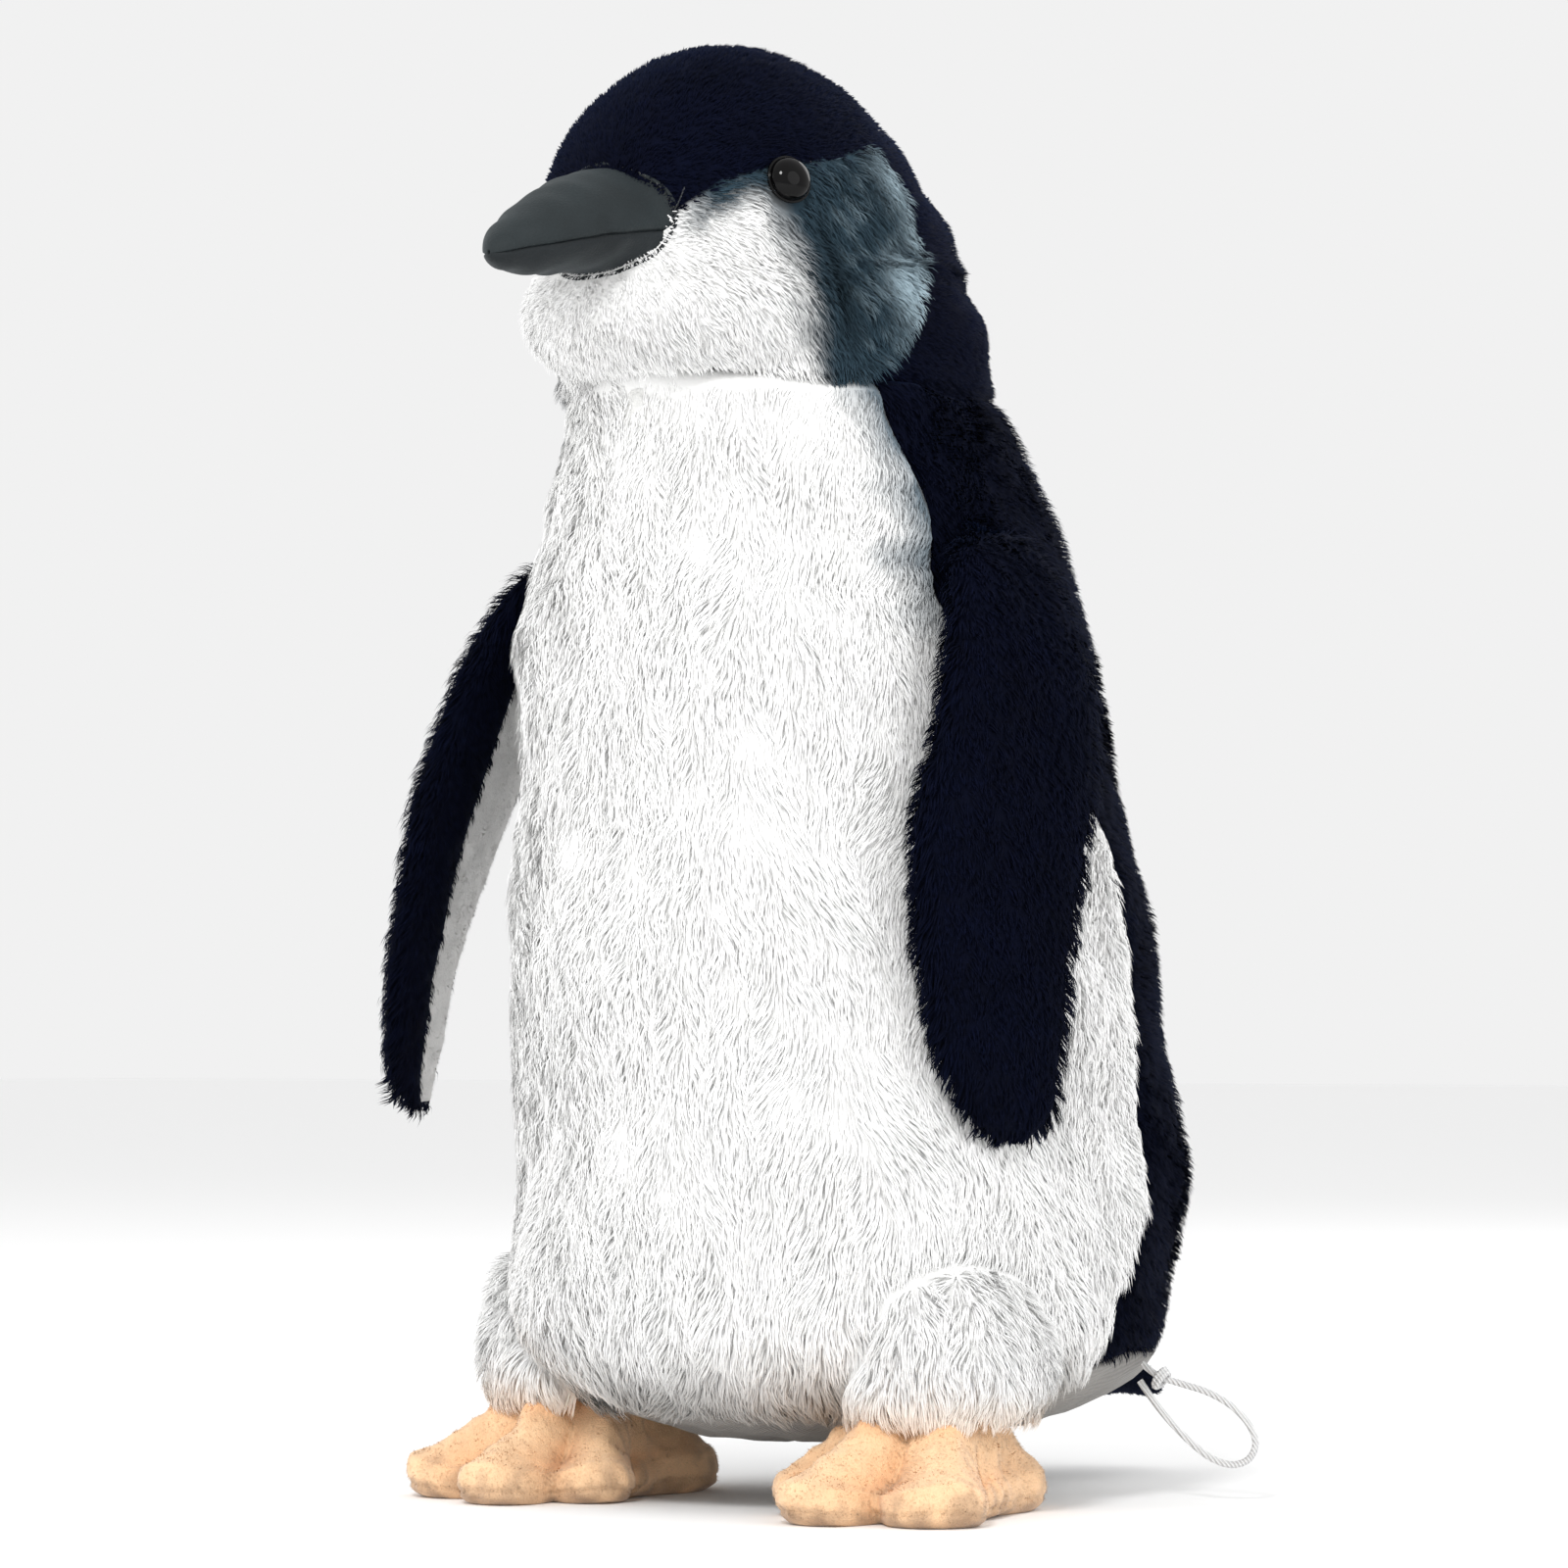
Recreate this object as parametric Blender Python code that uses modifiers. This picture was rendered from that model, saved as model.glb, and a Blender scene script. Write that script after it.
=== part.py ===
"""A standing plush penguin, 400 mm tall: sewn pile-fabric panels over fibre stuffing.

Metres, +Z up. The penguin faces -Y and its left is +X. It is modelled with its neck and
base over X = 0, and moved at the end so that the origin is on the floor, under the middle
of the whole toy. Every panel is a shell with its own thickness, and the
stuffing parts, the pellet bag, the beak, the eyes and their washers are separate solids.
"""

import math

import bmesh
import bpy
import numpy as np
from mathutils import Matrix, Vector

# Driving dimensions.
SEAM_GAP = 0.0012            # between the raw edges of two neighbouring panels
SKIN = 0.0020                # pile fabric, backing and root of the pile
THIN_SKIN = 0.0013           # suede and velboa on the beak, feet, flippers and tail
FILL_GAP = 0.0022            # between the inside of a skin and its stuffing
HEAD_FILL_GAP = 0.0030       # the same in the head, whose panels curve more
NECK_FILL_GAP = 0.0110       # and further in at the crease of the neck
TOUCH_GAP = 0.0004           # between two pieces that touch

# Body sections: height, centre Y, half width, half depth.
BODY_SECTIONS = (
    (0.060, 0.003, 0.0865, 0.0935),
    (0.090, 0.005, 0.0880, 0.0955),
    (0.130, 0.001, 0.0862, 0.0938),
    (0.170, -0.005, 0.0822, 0.0892),
    (0.210, -0.011, 0.0776, 0.0843),
    (0.240, -0.0155, 0.0735, 0.0800),
    (0.266, -0.0165, 0.0676, 0.0735),
    (0.293, -0.023, 0.0594, 0.0645),
    (0.310, -0.029, 0.0560, 0.0605),
    (0.335, -0.034, 0.0500, 0.0550),
)
BODY_POWER = 2.12            # a little squarer than an ellipse
BASE_HEIGHT = 0.016          # underside of the body above the floor
BASE_ROUND = 0.044           # height over which the body rounds off below
BASE_POWER = 2.6

# Head masses: centre Y, centre Z, half width, half depth, half height.
SKULL = (-0.049, 0.3430, 0.0470, 0.0600, 0.0545)
CHEEKS = (-0.042, 0.3210, 0.0530, 0.0675, 0.0240)
NAPE = (-0.030, 0.3300, 0.0420, 0.0500, 0.0480)
HEAD_CENTRE = Vector((0.0, -0.042, 0.335))
NECK_SEAM = 0.3035           # height of the seam between head and body
NECK_GAP = 0.0014            # on each side of it, where the fabric turns in
HEAD_BLEND = 0.011
CREASE_BLEND = 0.003         # the cheeks bulge over the neck in front
NAPE_BLEND = 0.020           # and the nape runs smoothly into the back

# Edge between the navy back and the white belly: height, angle behind the side.
BACK_EDGE = (
    (0.030, 3.0),
    (0.060, 6.0),
    (0.080, 11.0),
    (0.110, 13.0),
    (0.155, 17.0),
    (0.195, 13.0),
    (0.220, -6.0),
    (0.245, -22.0),
    (0.270, -21.0),
    (0.290, -25.0),
    (0.310, -24.0),
)
BASE_SEAM_FRONT = 0.026      # the base gusset starts lower in front than behind
BASE_SEAM_REAR = 0.040

# Weighted bag inside the body: half sizes, its middle in Y, and its lowest and highest Z.
PELLET_BAG = (0.055, 0.041)
PELLET_BAG_Y = -0.033
PELLET_BAG_Z = (0.0300, 0.0860)

# Seams on the penguin's left cheek: angle from its left towards its back, angle up.
CAP_EDGE = (
    (-70.5, 12.0), (-66.0, 10.3), (-61.0, 14.5), (-54.0, 19.5), (-43.0, 23.5), (-30.0, 28.0),
    (-12.0, 34.0), (3.0, 40.0), (13.0, 34.0), (20.0, 23.5), (21.0, 12.0), (16.5, 1.5),
    (8.0, -9.0), (3.0, -19.5), (-4.5, -26.5), (-14.0, -31.0),
)
EAR_STATION = 5              # the cap edge's station where the ear seam starts
EAR_SEAM = (
    (-30.0, 28.0), (-31.0, 18.0), (-30.5, 9.0), (-26.0, -3.5), (-22.0, -17.0), (-18.0, -31.0),
)
HEAD_SEAM_GAP = 0.55         # degrees from a head seam to a panel's raw edge

# Beak.
BEAK_BASE = (-0.0975, 0.3425)        # Y and Z of the middle of its base
BEAK_HALF_WIDTH = 0.0212
BEAK_HALF_HEIGHT = 0.0125
BEAK_TIP = Vector((0.0, -0.1500, 0.3285))

# Eyes: plastic safety eyes.
EYE_PLACE = (0.0400, -0.0750, 0.3540)
EYE_RADIUS = 0.0060
EYE_DOME = 0.0042
EYE_RIM = 0.0007
SHANK_RADIUS = 0.0020
SHANK_LENGTH = 0.0130
WASHER_RADIUS = 0.0065
WASHER_THICKNESS = 0.0014

# Legs and feet, the penguin's left.
LEG_CENTRE = Vector((0.0600, -0.0360, 0.0))
LEG_HEM = 0.0300
LEG_TOP = 0.0640
LEG_RADIUS = 0.0270
LEG_CLEARANCE = 0.0016       # between the body and a leg sewn onto it
FOOT_CENTRE = Vector((0.0600, -0.0470, 0.0))
SOLE_SEAM = 0.0045
FOOT_RADIUS = 0.0250
# Toes and heel of the left foot: way in degrees, how far out their round end, its radius.
FOOT_LOBES = (
    (-147.0, 0.0255, 0.0115),
    (-98.0, 0.0330, 0.0120),
    (-42.0, 0.0300, 0.0140),
    (97.0, 0.0295, 0.0215),
)
LOBE_BLEND = 0.0014
ANKLE_HEIGHT = 0.0350
ANKLE_RADIUS = 0.0165

# Flipper stations: height, angle on the body, half chord, half thickness.
FLIPPER_STATIONS = (
    (0.262, -9.0, 0.0080, 0.0022),
    (0.255, -10.0, 0.0180, 0.0050),
    (0.242, -11.0, 0.0225, 0.0072),
    (0.226, -13.0, 0.0255, 0.0084),
    (0.206, -17.0, 0.0275, 0.0088),
    (0.184, -22.0, 0.0280, 0.0086),
    (0.160, -26.0, 0.0250, 0.0080),
    (0.136, -28.0, 0.0215, 0.0072),
    (0.118, -27.5, 0.0175, 0.0062),
    (0.106, -26.5, 0.0125, 0.0050),
    (0.100, -26.0, 0.0060, 0.0026),
)
FLIPPER_CLEARANCE = 0.0012
FLIPPER_HINGE_HEIGHT = 0.262         # the flippers hang from their upper ends
FLIPPER_HINGE_ANGLE = -9.0
FLIPPER_HINGE_OUT = 0.0034
RIGHT_FLIPPER_LIFT = math.radians(13.0)  # the right flipper stands off the body

# Tail.
TAIL_ROOT = (0.0950, 0.0380)
TAIL_TIP = (0.1390, 0.0235)
TAIL_ROOT_CURVE = 6.0                # its root follows the curve of the back
TAIL_HINGE = (0.0, 0.0955, 0.0372)
TAIL_HALF_WIDTH = 0.0270
TAIL_HALF_THICKNESS = 0.0042

# White hang loop: its route, out of the rear seam and back into it.
LOOP_DIAMETER = 0.0019
LOOP_ROUTE = (
    (0.0745, 0.0395, 0.0372),
    (0.0790, 0.0413, 0.0338),
    (0.0850, 0.0437, 0.0318),
    (0.0915, 0.0463, 0.0297),
    (0.0975, 0.0487, 0.0262),
    (0.1022, 0.0505, 0.0212),
    (0.1040, 0.0512, 0.0160),
    (0.1022, 0.0504, 0.0116),
    (0.0978, 0.0486, 0.0100),
    (0.0925, 0.0464, 0.0118),
    (0.0872, 0.0443, 0.0160),
    (0.0820, 0.0423, 0.0214),
    (0.0775, 0.0405, 0.0272),
    (0.0740, 0.0391, 0.0325),
)

# The middle of the toy's own box, hang loop left out; it becomes the origin.
MIDDLE = Vector((-0.01510, -0.00426, 0.0))

COLOURS = {
    "navy_plush": ((0.0018, 0.0032, 0.0150), 0.90),
    "white_plush": ((0.860, 0.865, 0.850), 0.95),
    "grey_plush": ((0.090, 0.130, 0.165), 0.95),
    "grey_tricot": ((0.300, 0.285, 0.265), 0.92),
    "white_velboa": ((0.600, 0.605, 0.600), 0.85),
    "charcoal_suede": ((0.022, 0.030, 0.034), 0.80),
    "peach_velboa": ((0.870, 0.560, 0.300), 0.88),
    "black_eye": ((0.004, 0.004, 0.005), 0.06),
    "washer_plastic": ((0.700, 0.700, 0.680), 0.45),
    "fibre_fill": ((0.820, 0.820, 0.800), 0.95),
    "pellet_fill": ((0.550, 0.530, 0.480), 0.90),
    "white_cord": ((0.820, 0.820, 0.820), 0.70),
}

SIDES = (("left", 1.0), ("right", -1.0))


# The outer form.

def smooth_table(table, heights):
    """Columns of a table of (height, values...) at these heights, on smooth curves."""
    rows = np.array(table)
    knots = rows[:, 0]
    heights = np.clip(np.asarray(heights, float), knots[0], knots[-1])
    index = np.clip(np.searchsorted(knots, heights) - 1, 0, len(knots) - 2)
    step = knots[index + 1] - knots[index]
    t = (heights - knots[index]) / step
    columns = []
    for column in rows[:, 1:].T:
        slope = np.gradient(column, knots)
        columns.append(
            (2 * t**3 - 3 * t**2 + 1) * column[index]
            + (t**3 - 2 * t**2 + t) * step * slope[index]
            + (3 * t**2 - 2 * t**3) * column[index + 1]
            + (t**3 - t**2) * step * slope[index + 1]
        )
    return columns


def smooth_step(values, low, high):
    t = np.clip((values - low) / (high - low), 0.0, 1.0)
    return t * t * (3 - 2 * t)


def smooth_union(a, b, width):
    mix = np.clip(0.5 + 0.5 * (b - a) / width, 0.0, 1.0)
    return b + (a - b) * mix - width * mix * (1 - mix)


def body_field(points):
    """About the distance outside the body, in metres; negative inside."""
    x, y, z = points[..., 0], points[..., 1], points[..., 2]
    centre, width, depth = smooth_table(BODY_SECTIONS, z)
    down = np.clip((BASE_HEIGHT + BASE_ROUND - z) / BASE_ROUND, 0.0, 0.9999)
    shrink = (1 - down**BASE_POWER) ** (1 / BASE_POWER)
    norm = (np.abs(x / width) ** BODY_POWER + np.abs((y - centre) / depth) ** BODY_POWER) ** (1 / BODY_POWER)
    field = (norm - shrink) * width
    top = z - BODY_SECTIONS[-1][0]
    return np.maximum(field, np.maximum(top, BASE_HEIGHT - z))


def mass_field(points, mass):
    centre_y, centre_z, width, depth, height = mass
    scaled = np.stack(
        [
            points[..., 0] / width,
            (points[..., 1] - centre_y) / depth,
            (points[..., 2] - centre_z) / height,
        ],
        axis=-1,
    )
    return (np.linalg.norm(scaled, axis=-1) - 1) * width


def head_field(points):
    head = smooth_union(mass_field(points, SKULL), mass_field(points, CHEEKS), HEAD_BLEND)
    return smooth_union(head, mass_field(points, NAPE), HEAD_BLEND)


def outer_field(points):
    """The whole body and head: a sharp crease under the cheeks, a smooth nape."""
    width = CREASE_BLEND + (NAPE_BLEND - CREASE_BLEND) * smooth_step(points[..., 1], -0.060, 0.0)
    return smooth_union(body_field(points), head_field(points), width)


def cast(origins, directions):
    """Where rays from inside leave the outer form."""
    near = np.zeros(directions.shape[:-1])
    far = np.full(directions.shape[:-1], 0.25)
    for _ in range(32):
        middle = (near + far) / 2
        inside = outer_field(origins + directions * middle[..., None]) < 0.0
        near = np.where(inside, middle, near)
        far = np.where(inside, far, middle)
    return origins + directions * near[..., None]


def normals(points):
    """Unit normals of the outer form at points near it."""
    step = 0.0004
    gradient = np.stack(
        [outer_field(points + step * axis) - outer_field(points - step * axis) for axis in np.eye(3)],
        axis=-1,
    )
    return gradient / np.linalg.norm(gradient, axis=-1)[..., None]


def body_points(angles, heights, inset=0.0):
    """Points of the outer form at these angles (degrees, 0 left, 90 back) and heights."""
    angles, heights = np.broadcast_arrays(np.radians(angles), heights)
    centre = smooth_table(BODY_SECTIONS, heights)[0]
    origins = np.stack([np.zeros_like(centre), centre, heights], axis=-1)
    directions = np.stack([np.cos(angles), np.sin(angles), np.zeros_like(angles)], axis=-1)
    surface = cast(origins, directions)
    return surface - normals(surface) * inset


def head_direction(angle, up):
    angle, up = np.radians(angle), np.radians(up)
    return np.stack([np.cos(up) * np.cos(angle), np.cos(up) * np.sin(angle), np.sin(up)], axis=-1)


def head_points(directions, inset=0.0):
    """Points of the outer form in these directions from the head's centre."""
    surface = cast(np.broadcast_to(np.array(HEAD_CENTRE), directions.shape), directions)
    return surface - normals(surface) * inset


def outward(point):
    return Vector(normals(np.array(point)))


# Making objects.

def clear_scene():
    for obj in list(bpy.data.objects):
        bpy.data.objects.remove(obj, do_unlink=True)


def new_collection(name):
    collection = bpy.data.collections.new(name)
    bpy.context.scene.collection.children.link(collection)
    return collection


def material(name):
    found = bpy.data.materials.get(name)
    if found:
        return found
    colour, roughness = COLOURS[name]
    made = bpy.data.materials.new(name)
    made.use_nodes = True
    shader = made.node_tree.nodes["Principled BSDF"]
    shader.inputs["Base Color"].default_value = (*colour, 1.0)
    shader.inputs["Roughness"].default_value = roughness
    shader.inputs["Metallic"].default_value = 0.0
    made.diffuse_color = (*colour, 1.0)
    return made


def mesh_object(name, points, faces, finish, collection, origin=None):
    """An object of these points and faces, with its origin moved to a joint's axis."""
    origin = Vector(origin) if origin is not None else Vector()
    mesh = bpy.data.meshes.new(name)
    mesh.from_pydata([Vector(p) - origin for p in points], [], faces)
    bm = bmesh.new()
    bm.from_mesh(mesh)
    bmesh.ops.remove_doubles(bm, verts=bm.verts, dist=1e-5)
    bmesh.ops.recalc_face_normals(bm, faces=bm.faces)
    if all(edge.is_manifold for edge in bm.edges) and bm.calc_volume(signed=True) < 0:
        bmesh.ops.reverse_faces(bm, faces=bm.faces)
    bm.to_mesh(mesh)
    bm.free()
    mesh.shade_smooth()
    mesh.set_sharp_from_angle(angle=math.radians(40))
    if finish:
        mesh.materials.append(material(finish))
    obj = bpy.data.objects.new(name, mesh)
    obj.location = origin
    collection.objects.link(obj)
    return obj


def grid_faces(rows, columns, wrap=False):
    """Quads between rows of points; wrap joins each row's last point to its first."""
    faces = []
    for row in range(rows - 1):
        for column in range(columns if wrap else columns - 1):
            beside = (column + 1) % columns
            faces.append(
                (
                    row * columns + column,
                    row * columns + beside,
                    (row + 1) * columns + beside,
                    (row + 1) * columns + column,
                )
            )
    return faces


def shell(name, grid, thickness, finish, collection, inside, origin=None, wrap=False):
    """An open patch made a closed shell, thickened towards the point called inside."""
    rows, columns = grid.shape[:2]
    obj = mesh_object(
        name, grid.reshape(-1, 3), grid_faces(rows, columns, wrap), finish, collection, origin
    )
    mesh = obj.data
    face = max(mesh.polygons, key=lambda polygon: polygon.area)
    centre = face.center + obj.location
    if face.normal.dot(centre - Vector(inside)) < 0:
        mesh.flip_normals()
    solidify = obj.modifiers.new("thickness", "SOLIDIFY")
    solidify.thickness = thickness
    solidify.offset = -1.0
    solidify.use_even_offset = True
    solidify.thickness_clamp = 1.0
    return obj


def closed_loft(name, rings, finish, collection, origin=None):
    """A solid through closed rings of points, with its two ends capped."""
    count, around = rings.shape[:2]
    faces = grid_faces(count, around, wrap=True)
    faces.append(tuple(range(around)))
    faces.append(tuple(range((count - 1) * around, count * around)))
    return mesh_object(name, rings.reshape(-1, 3), faces, finish, collection, origin)


def half_shell(name, outer, inner, finish, collection, origin=None):
    """A solid between two open sets of rings, such as the upper half of a stuffed limb."""
    rings = np.concatenate([outer, inner[:, ::-1]], axis=1)
    return closed_loft(name, rings, finish, collection, origin)


def cut(obj, cutter):
    boolean = obj.modifiers.new("cut_" + cutter.name, "BOOLEAN")
    boolean.operation = "DIFFERENCE"
    boolean.solver = "EXACT"
    boolean.object = cutter


def cutter_of(obj):
    obj.hide_render = True
    obj.display_type = "WIRE"
    return obj


def along(low, high, count):
    return np.linspace(low, high, count)


# Body.

def back_edge(heights):
    return smooth_table(BACK_EDGE, heights)[0]


def base_seam(angles):
    """Height of the seam round the base gusset at these angles."""
    behind = 0.5 + 0.5 * np.sin(np.radians(angles))
    return BASE_SEAM_FRONT + (BASE_SEAM_REAR - BASE_SEAM_FRONT) * smooth_step(behind, 0.15, 0.7)


def body_panel(name, first, last, columns, finish, collection, rows=14):
    """A panel of the body between two edges, each a function from height to angle."""
    across = along(0.0, 1.0, columns)[None, :]
    down = along(0.0, 1.0, rows)[:, None] ** 0.9
    angles = first(0.15) + (last(0.15) - first(0.15)) * across
    for _ in range(4):
        bottom = base_seam(angles) + SEAM_GAP / 2
        heights = NECK_SEAM - NECK_GAP + (bottom - NECK_SEAM + NECK_GAP) * down
        angles = first(heights) + (last(heights) - first(heights)) * across
    grid = body_points(angles, heights)
    return shell(name, grid, SKIN, finish, collection, (0.0, 0.0, 0.15))


def make_body(parts):
    gap = math.degrees(SEAM_GAP / 2 / 0.085)
    body_panel(
        "belly_panel",
        lambda z: -180.0 - back_edge(z) + gap,
        lambda z: back_edge(z) - gap,
        19, "white_plush", parts,
    )
    body_panel(
        "back_panel_left",
        lambda z: back_edge(z) + gap,
        lambda z: 90.0 - gap + 0 * z,
        8, "navy_plush", parts,
    )
    body_panel(
        "back_panel_right",
        lambda z: 90.0 + gap + 0 * z,
        lambda z: 180.0 - back_edge(z) - gap,
        8, "navy_plush", parts,
    )
    make_gusset(parts)
    make_stuffing(parts)


def base_ring(inward, angles):
    """Points of the underside: inward is 1 at the gusset's seam and 0 at its middle."""
    seam = body_points(angles, base_seam(angles) - SEAM_GAP / 2)
    middle = np.array((0.0, 0.0, 0.06))
    down = np.array((0.0, 0.0, -1.0))
    ray = seam - middle
    ray /= np.linalg.norm(ray, axis=-1)[..., None]
    ray = ray * inward + down * (1 - inward)
    ray /= np.linalg.norm(ray, axis=-1)[..., None]
    return cast(np.broadcast_to(middle, ray.shape), ray)


def make_gusset(parts):
    """The grey base panel: rings from its middle out to the seam."""
    around = 30
    angles = along(0.0, 360.0, around + 1)[:-1]
    rings = [base_ring(inward, angles) for inward in (0.25, 0.55, 0.75, 0.88, 0.95, 1.0)]
    points = np.concatenate(rings)
    faces = grid_faces(len(rings), around, wrap=True)
    faces.append(tuple(range(around)))
    obj = mesh_object("base_gusset", points, faces, "grey_tricot", parts)
    if min(obj.data.polygons, key=lambda p: p.center.z).normal.z > 0:
        obj.data.flip_normals()
    solidify = obj.modifiers.new("thickness", "SOLIDIFY")
    solidify.thickness = SKIN
    solidify.offset = -1.0
    solidify.use_even_offset = True


def make_stuffing(parts):
    """The fibre filling of the body, with a pocket below for the pellet bag."""
    inset = SKIN + FILL_GAP
    around = 28
    angles = along(0.0, 360.0, around + 1)[:-1]
    rings = []
    for inward in (0.25, 0.55, 0.75, 0.88):
        surface = base_ring(inward, angles)
        rings.append(surface - normals(surface) * inset)
    heights = [0.050, 0.066, 0.088, 0.11, 0.135, 0.16, 0.185, 0.21, 0.235, 0.26, 0.284]
    rings += [body_points(angles, z, inset) for z in heights]
    top = body_points(angles, NECK_SEAM - 0.002, inset)
    top[:, 2] = NECK_SEAM - 0.003
    rings.append(top)
    filling = closed_loft("body_stuffing", np.array(rings), "fibre_fill", parts)
    make_pellet_bag(filling, parts)


def oval_ring(size, height):
    turn = np.radians(along(0.0, 360.0, 21)[:-1])
    return np.stack(
        [
            PELLET_BAG[0] * size * np.cos(turn),
            PELLET_BAG_Y + PELLET_BAG[1] * size * np.sin(turn),
            np.full(len(turn), height),
        ],
        axis=-1,
    )


def make_pellet_bag(filling, parts):
    """A flat cloth bag of plastic pellets low in front, and its pocket in the filling."""
    low, high = PELLET_BAG_Z
    rounding = ((0.0, 0.72), (0.15, 0.90), (0.5, 1.0), (0.85, 0.95), (1.0, 0.80))
    bag = np.array([oval_ring(size, low + (high - low) * up) for up, size in rounding])
    closed_loft("pellet_bag", bag, "pellet_fill", parts)
    pocket = np.array([oval_ring(1.04, 0.0100), oval_ring(1.04, high + 0.0012)])
    cut(filling, cutter_of(closed_loft("pellet_pocket", pocket, None, cutters())))


def cutters():
    return bpy.data.collections["cutters"]


# Head.

def offset_edge(edge, amount):
    """An edge of (angle, up) points moved this many degrees to the left of its way."""
    squash = np.stack([np.cos(np.radians(edge[:, 1])), np.ones(len(edge))], axis=-1)
    run = np.gradient(edge * squash, axis=0)
    run /= np.linalg.norm(run, axis=-1)[:, None]
    left = np.stack([-run[:, 1], run[:, 0]], axis=-1)
    return edge + amount * left / squash


def neck_seam_up(angles):
    """How far down, in degrees, the neck seam lies at these head angles."""
    low = np.full(np.shape(angles), -75.0)
    high = np.full(np.shape(angles), 0.0)
    for _ in range(24):
        up = (low + high) / 2
        below = head_points(head_direction(angles, up))[..., 2] < NECK_SEAM + NECK_GAP
        low = np.where(below, up, low)
        high = np.where(below, high, up)
    return (low + high) / 2


def coons(bottom, top, left, right):
    """Fill between four edges of (angle, up) points with a smooth grid."""
    columns, rows = len(bottom), len(left)
    u = np.linspace(0, 1, columns)[None, :, None]
    v = np.linspace(0, 1, rows)[:, None, None]
    edges = (1 - v) * bottom[None] + v * top[None] + (1 - u) * left[:, None] + u * right[:, None]
    corners = (
        (1 - u) * (1 - v) * bottom[0] + u * (1 - v) * bottom[-1]
        + (1 - u) * v * top[0] + u * v * top[-1]
    )
    return edges - corners


def beak_ring(scale, count, start=0.0, end=360.0):
    """Directions from the head's centre to the outline of the beak's base."""
    turn = np.radians(along(start, end, count))
    target = np.stack(
        [
            BEAK_HALF_WIDTH * scale * np.cos(turn),
            np.full(count, BEAK_BASE[0]),
            BEAK_BASE[1] + BEAK_HALF_HEIGHT * scale * np.sin(turn),
        ],
        axis=-1,
    )
    ray = target - np.array(HEAD_CENTRE)
    return ray / np.linalg.norm(ray, axis=-1)[:, None]


def as_angles(directions):
    angle = np.degrees(np.arctan2(directions[..., 1], directions[..., 0]))
    up = np.degrees(np.arcsin(np.clip(directions[..., 2], -1, 1)))
    return np.stack([angle, up], axis=-1)


def mirrored(grid, side):
    return grid * np.array((side, 1.0, 1.0))


def ear_seam(count):
    knots = np.linspace(0.0, 1.0, len(EAR_SEAM))
    table = np.column_stack([knots, np.array(EAR_SEAM)])
    return np.stack(smooth_table(table, np.linspace(0.0, 1.0, count)), axis=-1)


def make_faces(parts):
    """The white face panel and the grey ear panel of each side."""
    cap = offset_edge(np.array(CAP_EDGE), -HEAD_SEAM_GAP)
    cap_front, cap_rear = cap[: EAR_STATION + 1], cap[EAR_STATION:]
    rows, columns = len(cap_rear), len(cap_front)
    seam = ear_seam(rows)
    face_side = offset_edge(seam, -HEAD_SEAM_GAP)[::-1]
    face_side[-1] = cap_front[-1]
    opening = as_angles(beak_ring(1.15, rows // 2 + 1, -90.0, 20.0))
    opening[0, 0] = -90.0 + HEAD_SEAM_GAP
    chin_up = along(neck_seam_up(-90.0), opening[0, 1], rows // 2 + 1)
    chin = np.stack([np.full(len(chin_up), opening[0, 0]), chin_up], axis=-1)
    beak_side = np.concatenate([chin[:-1], opening])
    beak_side[-1] = cap_front[0]
    across = along(beak_side[0, 0], face_side[0, 0], columns)
    bottom = np.stack([across, neck_seam_up(across)], axis=-1)
    face_side[0] = bottom[-1]
    face = coons(bottom, cap_front, beak_side, face_side)
    face = head_points(head_direction(face[..., 0], face[..., 1]))
    ear = ear_grid(offset_edge(seam, HEAD_SEAM_GAP), cap_rear)
    panels = []
    for name, side in SIDES:
        for part, grid, finish in (("face", face, "white_plush"), ("ear", ear, "grey_plush")):
            panels.append(
                shell(f"{part}_panel_{name}", mirrored(grid, side), SKIN, finish, parts, HEAD_CENTRE)
            )
    return panels


def ear_grid(front, rear):
    """The panel behind the eye, between the ear seam and the cap's edge."""
    across = along(0.0, 1.0, 6)[None, :, None]
    grid = (front[:, None] * (1 - across) + rear[:, None] * across)[1:]
    grid[..., 1] = np.maximum(grid[..., 1], neck_seam_up(grid[..., 0]))
    return head_points(head_direction(grid[..., 0], grid[..., 1]))


def over_angles(directions):
    """Angle from the front over the top to the back, and angle sideways."""
    over = np.degrees(np.arctan2(directions[..., 2], -directions[..., 1])) % 360.0
    over = np.where(over > 300.0, over - 360.0, over)
    return over, np.degrees(np.arcsin(np.clip(directions[..., 0], -1, 1)))


def make_crown(parts):
    """The navy cap, from the beak over the top and down the nape to the neck seam."""
    edge = offset_edge(np.array(CAP_EDGE), HEAD_SEAM_GAP)
    edge[-1, 1] = neck_seam_up(edge[-1, 0])
    rows, columns = len(edge), 15
    edge_over, edge_side = over_angles(head_direction(edge[:, 0], edge[:, 1]))
    start = over_angles(beak_ring(1.15, 1, 90.0, 90.0))[0][0]
    end = 180.0 - float(neck_seam_up(90.0))
    across = along(-1.0, 1.0, columns)[None, :]
    middle_over = along(start, end, rows)[:, None]
    over = np.radians(middle_over + (edge_over[:, None] - middle_over) * np.abs(across) ** 2.2)
    sideways = np.radians(edge_side[:, None] * across)
    directions = np.stack(
        [np.sin(sideways), -np.cos(sideways) * np.cos(over), np.cos(sideways) * np.sin(over)],
        axis=-1,
    )
    grid = as_angles(directions)
    grid[-1, :, 1] = neck_seam_up(grid[-1, :, 0])
    grid[..., 1] = np.maximum(grid[..., 1], neck_seam_up(grid[..., 0]))
    points = head_points(head_direction(grid[..., 0], grid[..., 1]))
    return shell("head_crown", points, SKIN, "navy_plush", parts, HEAD_CENTRE)


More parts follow.
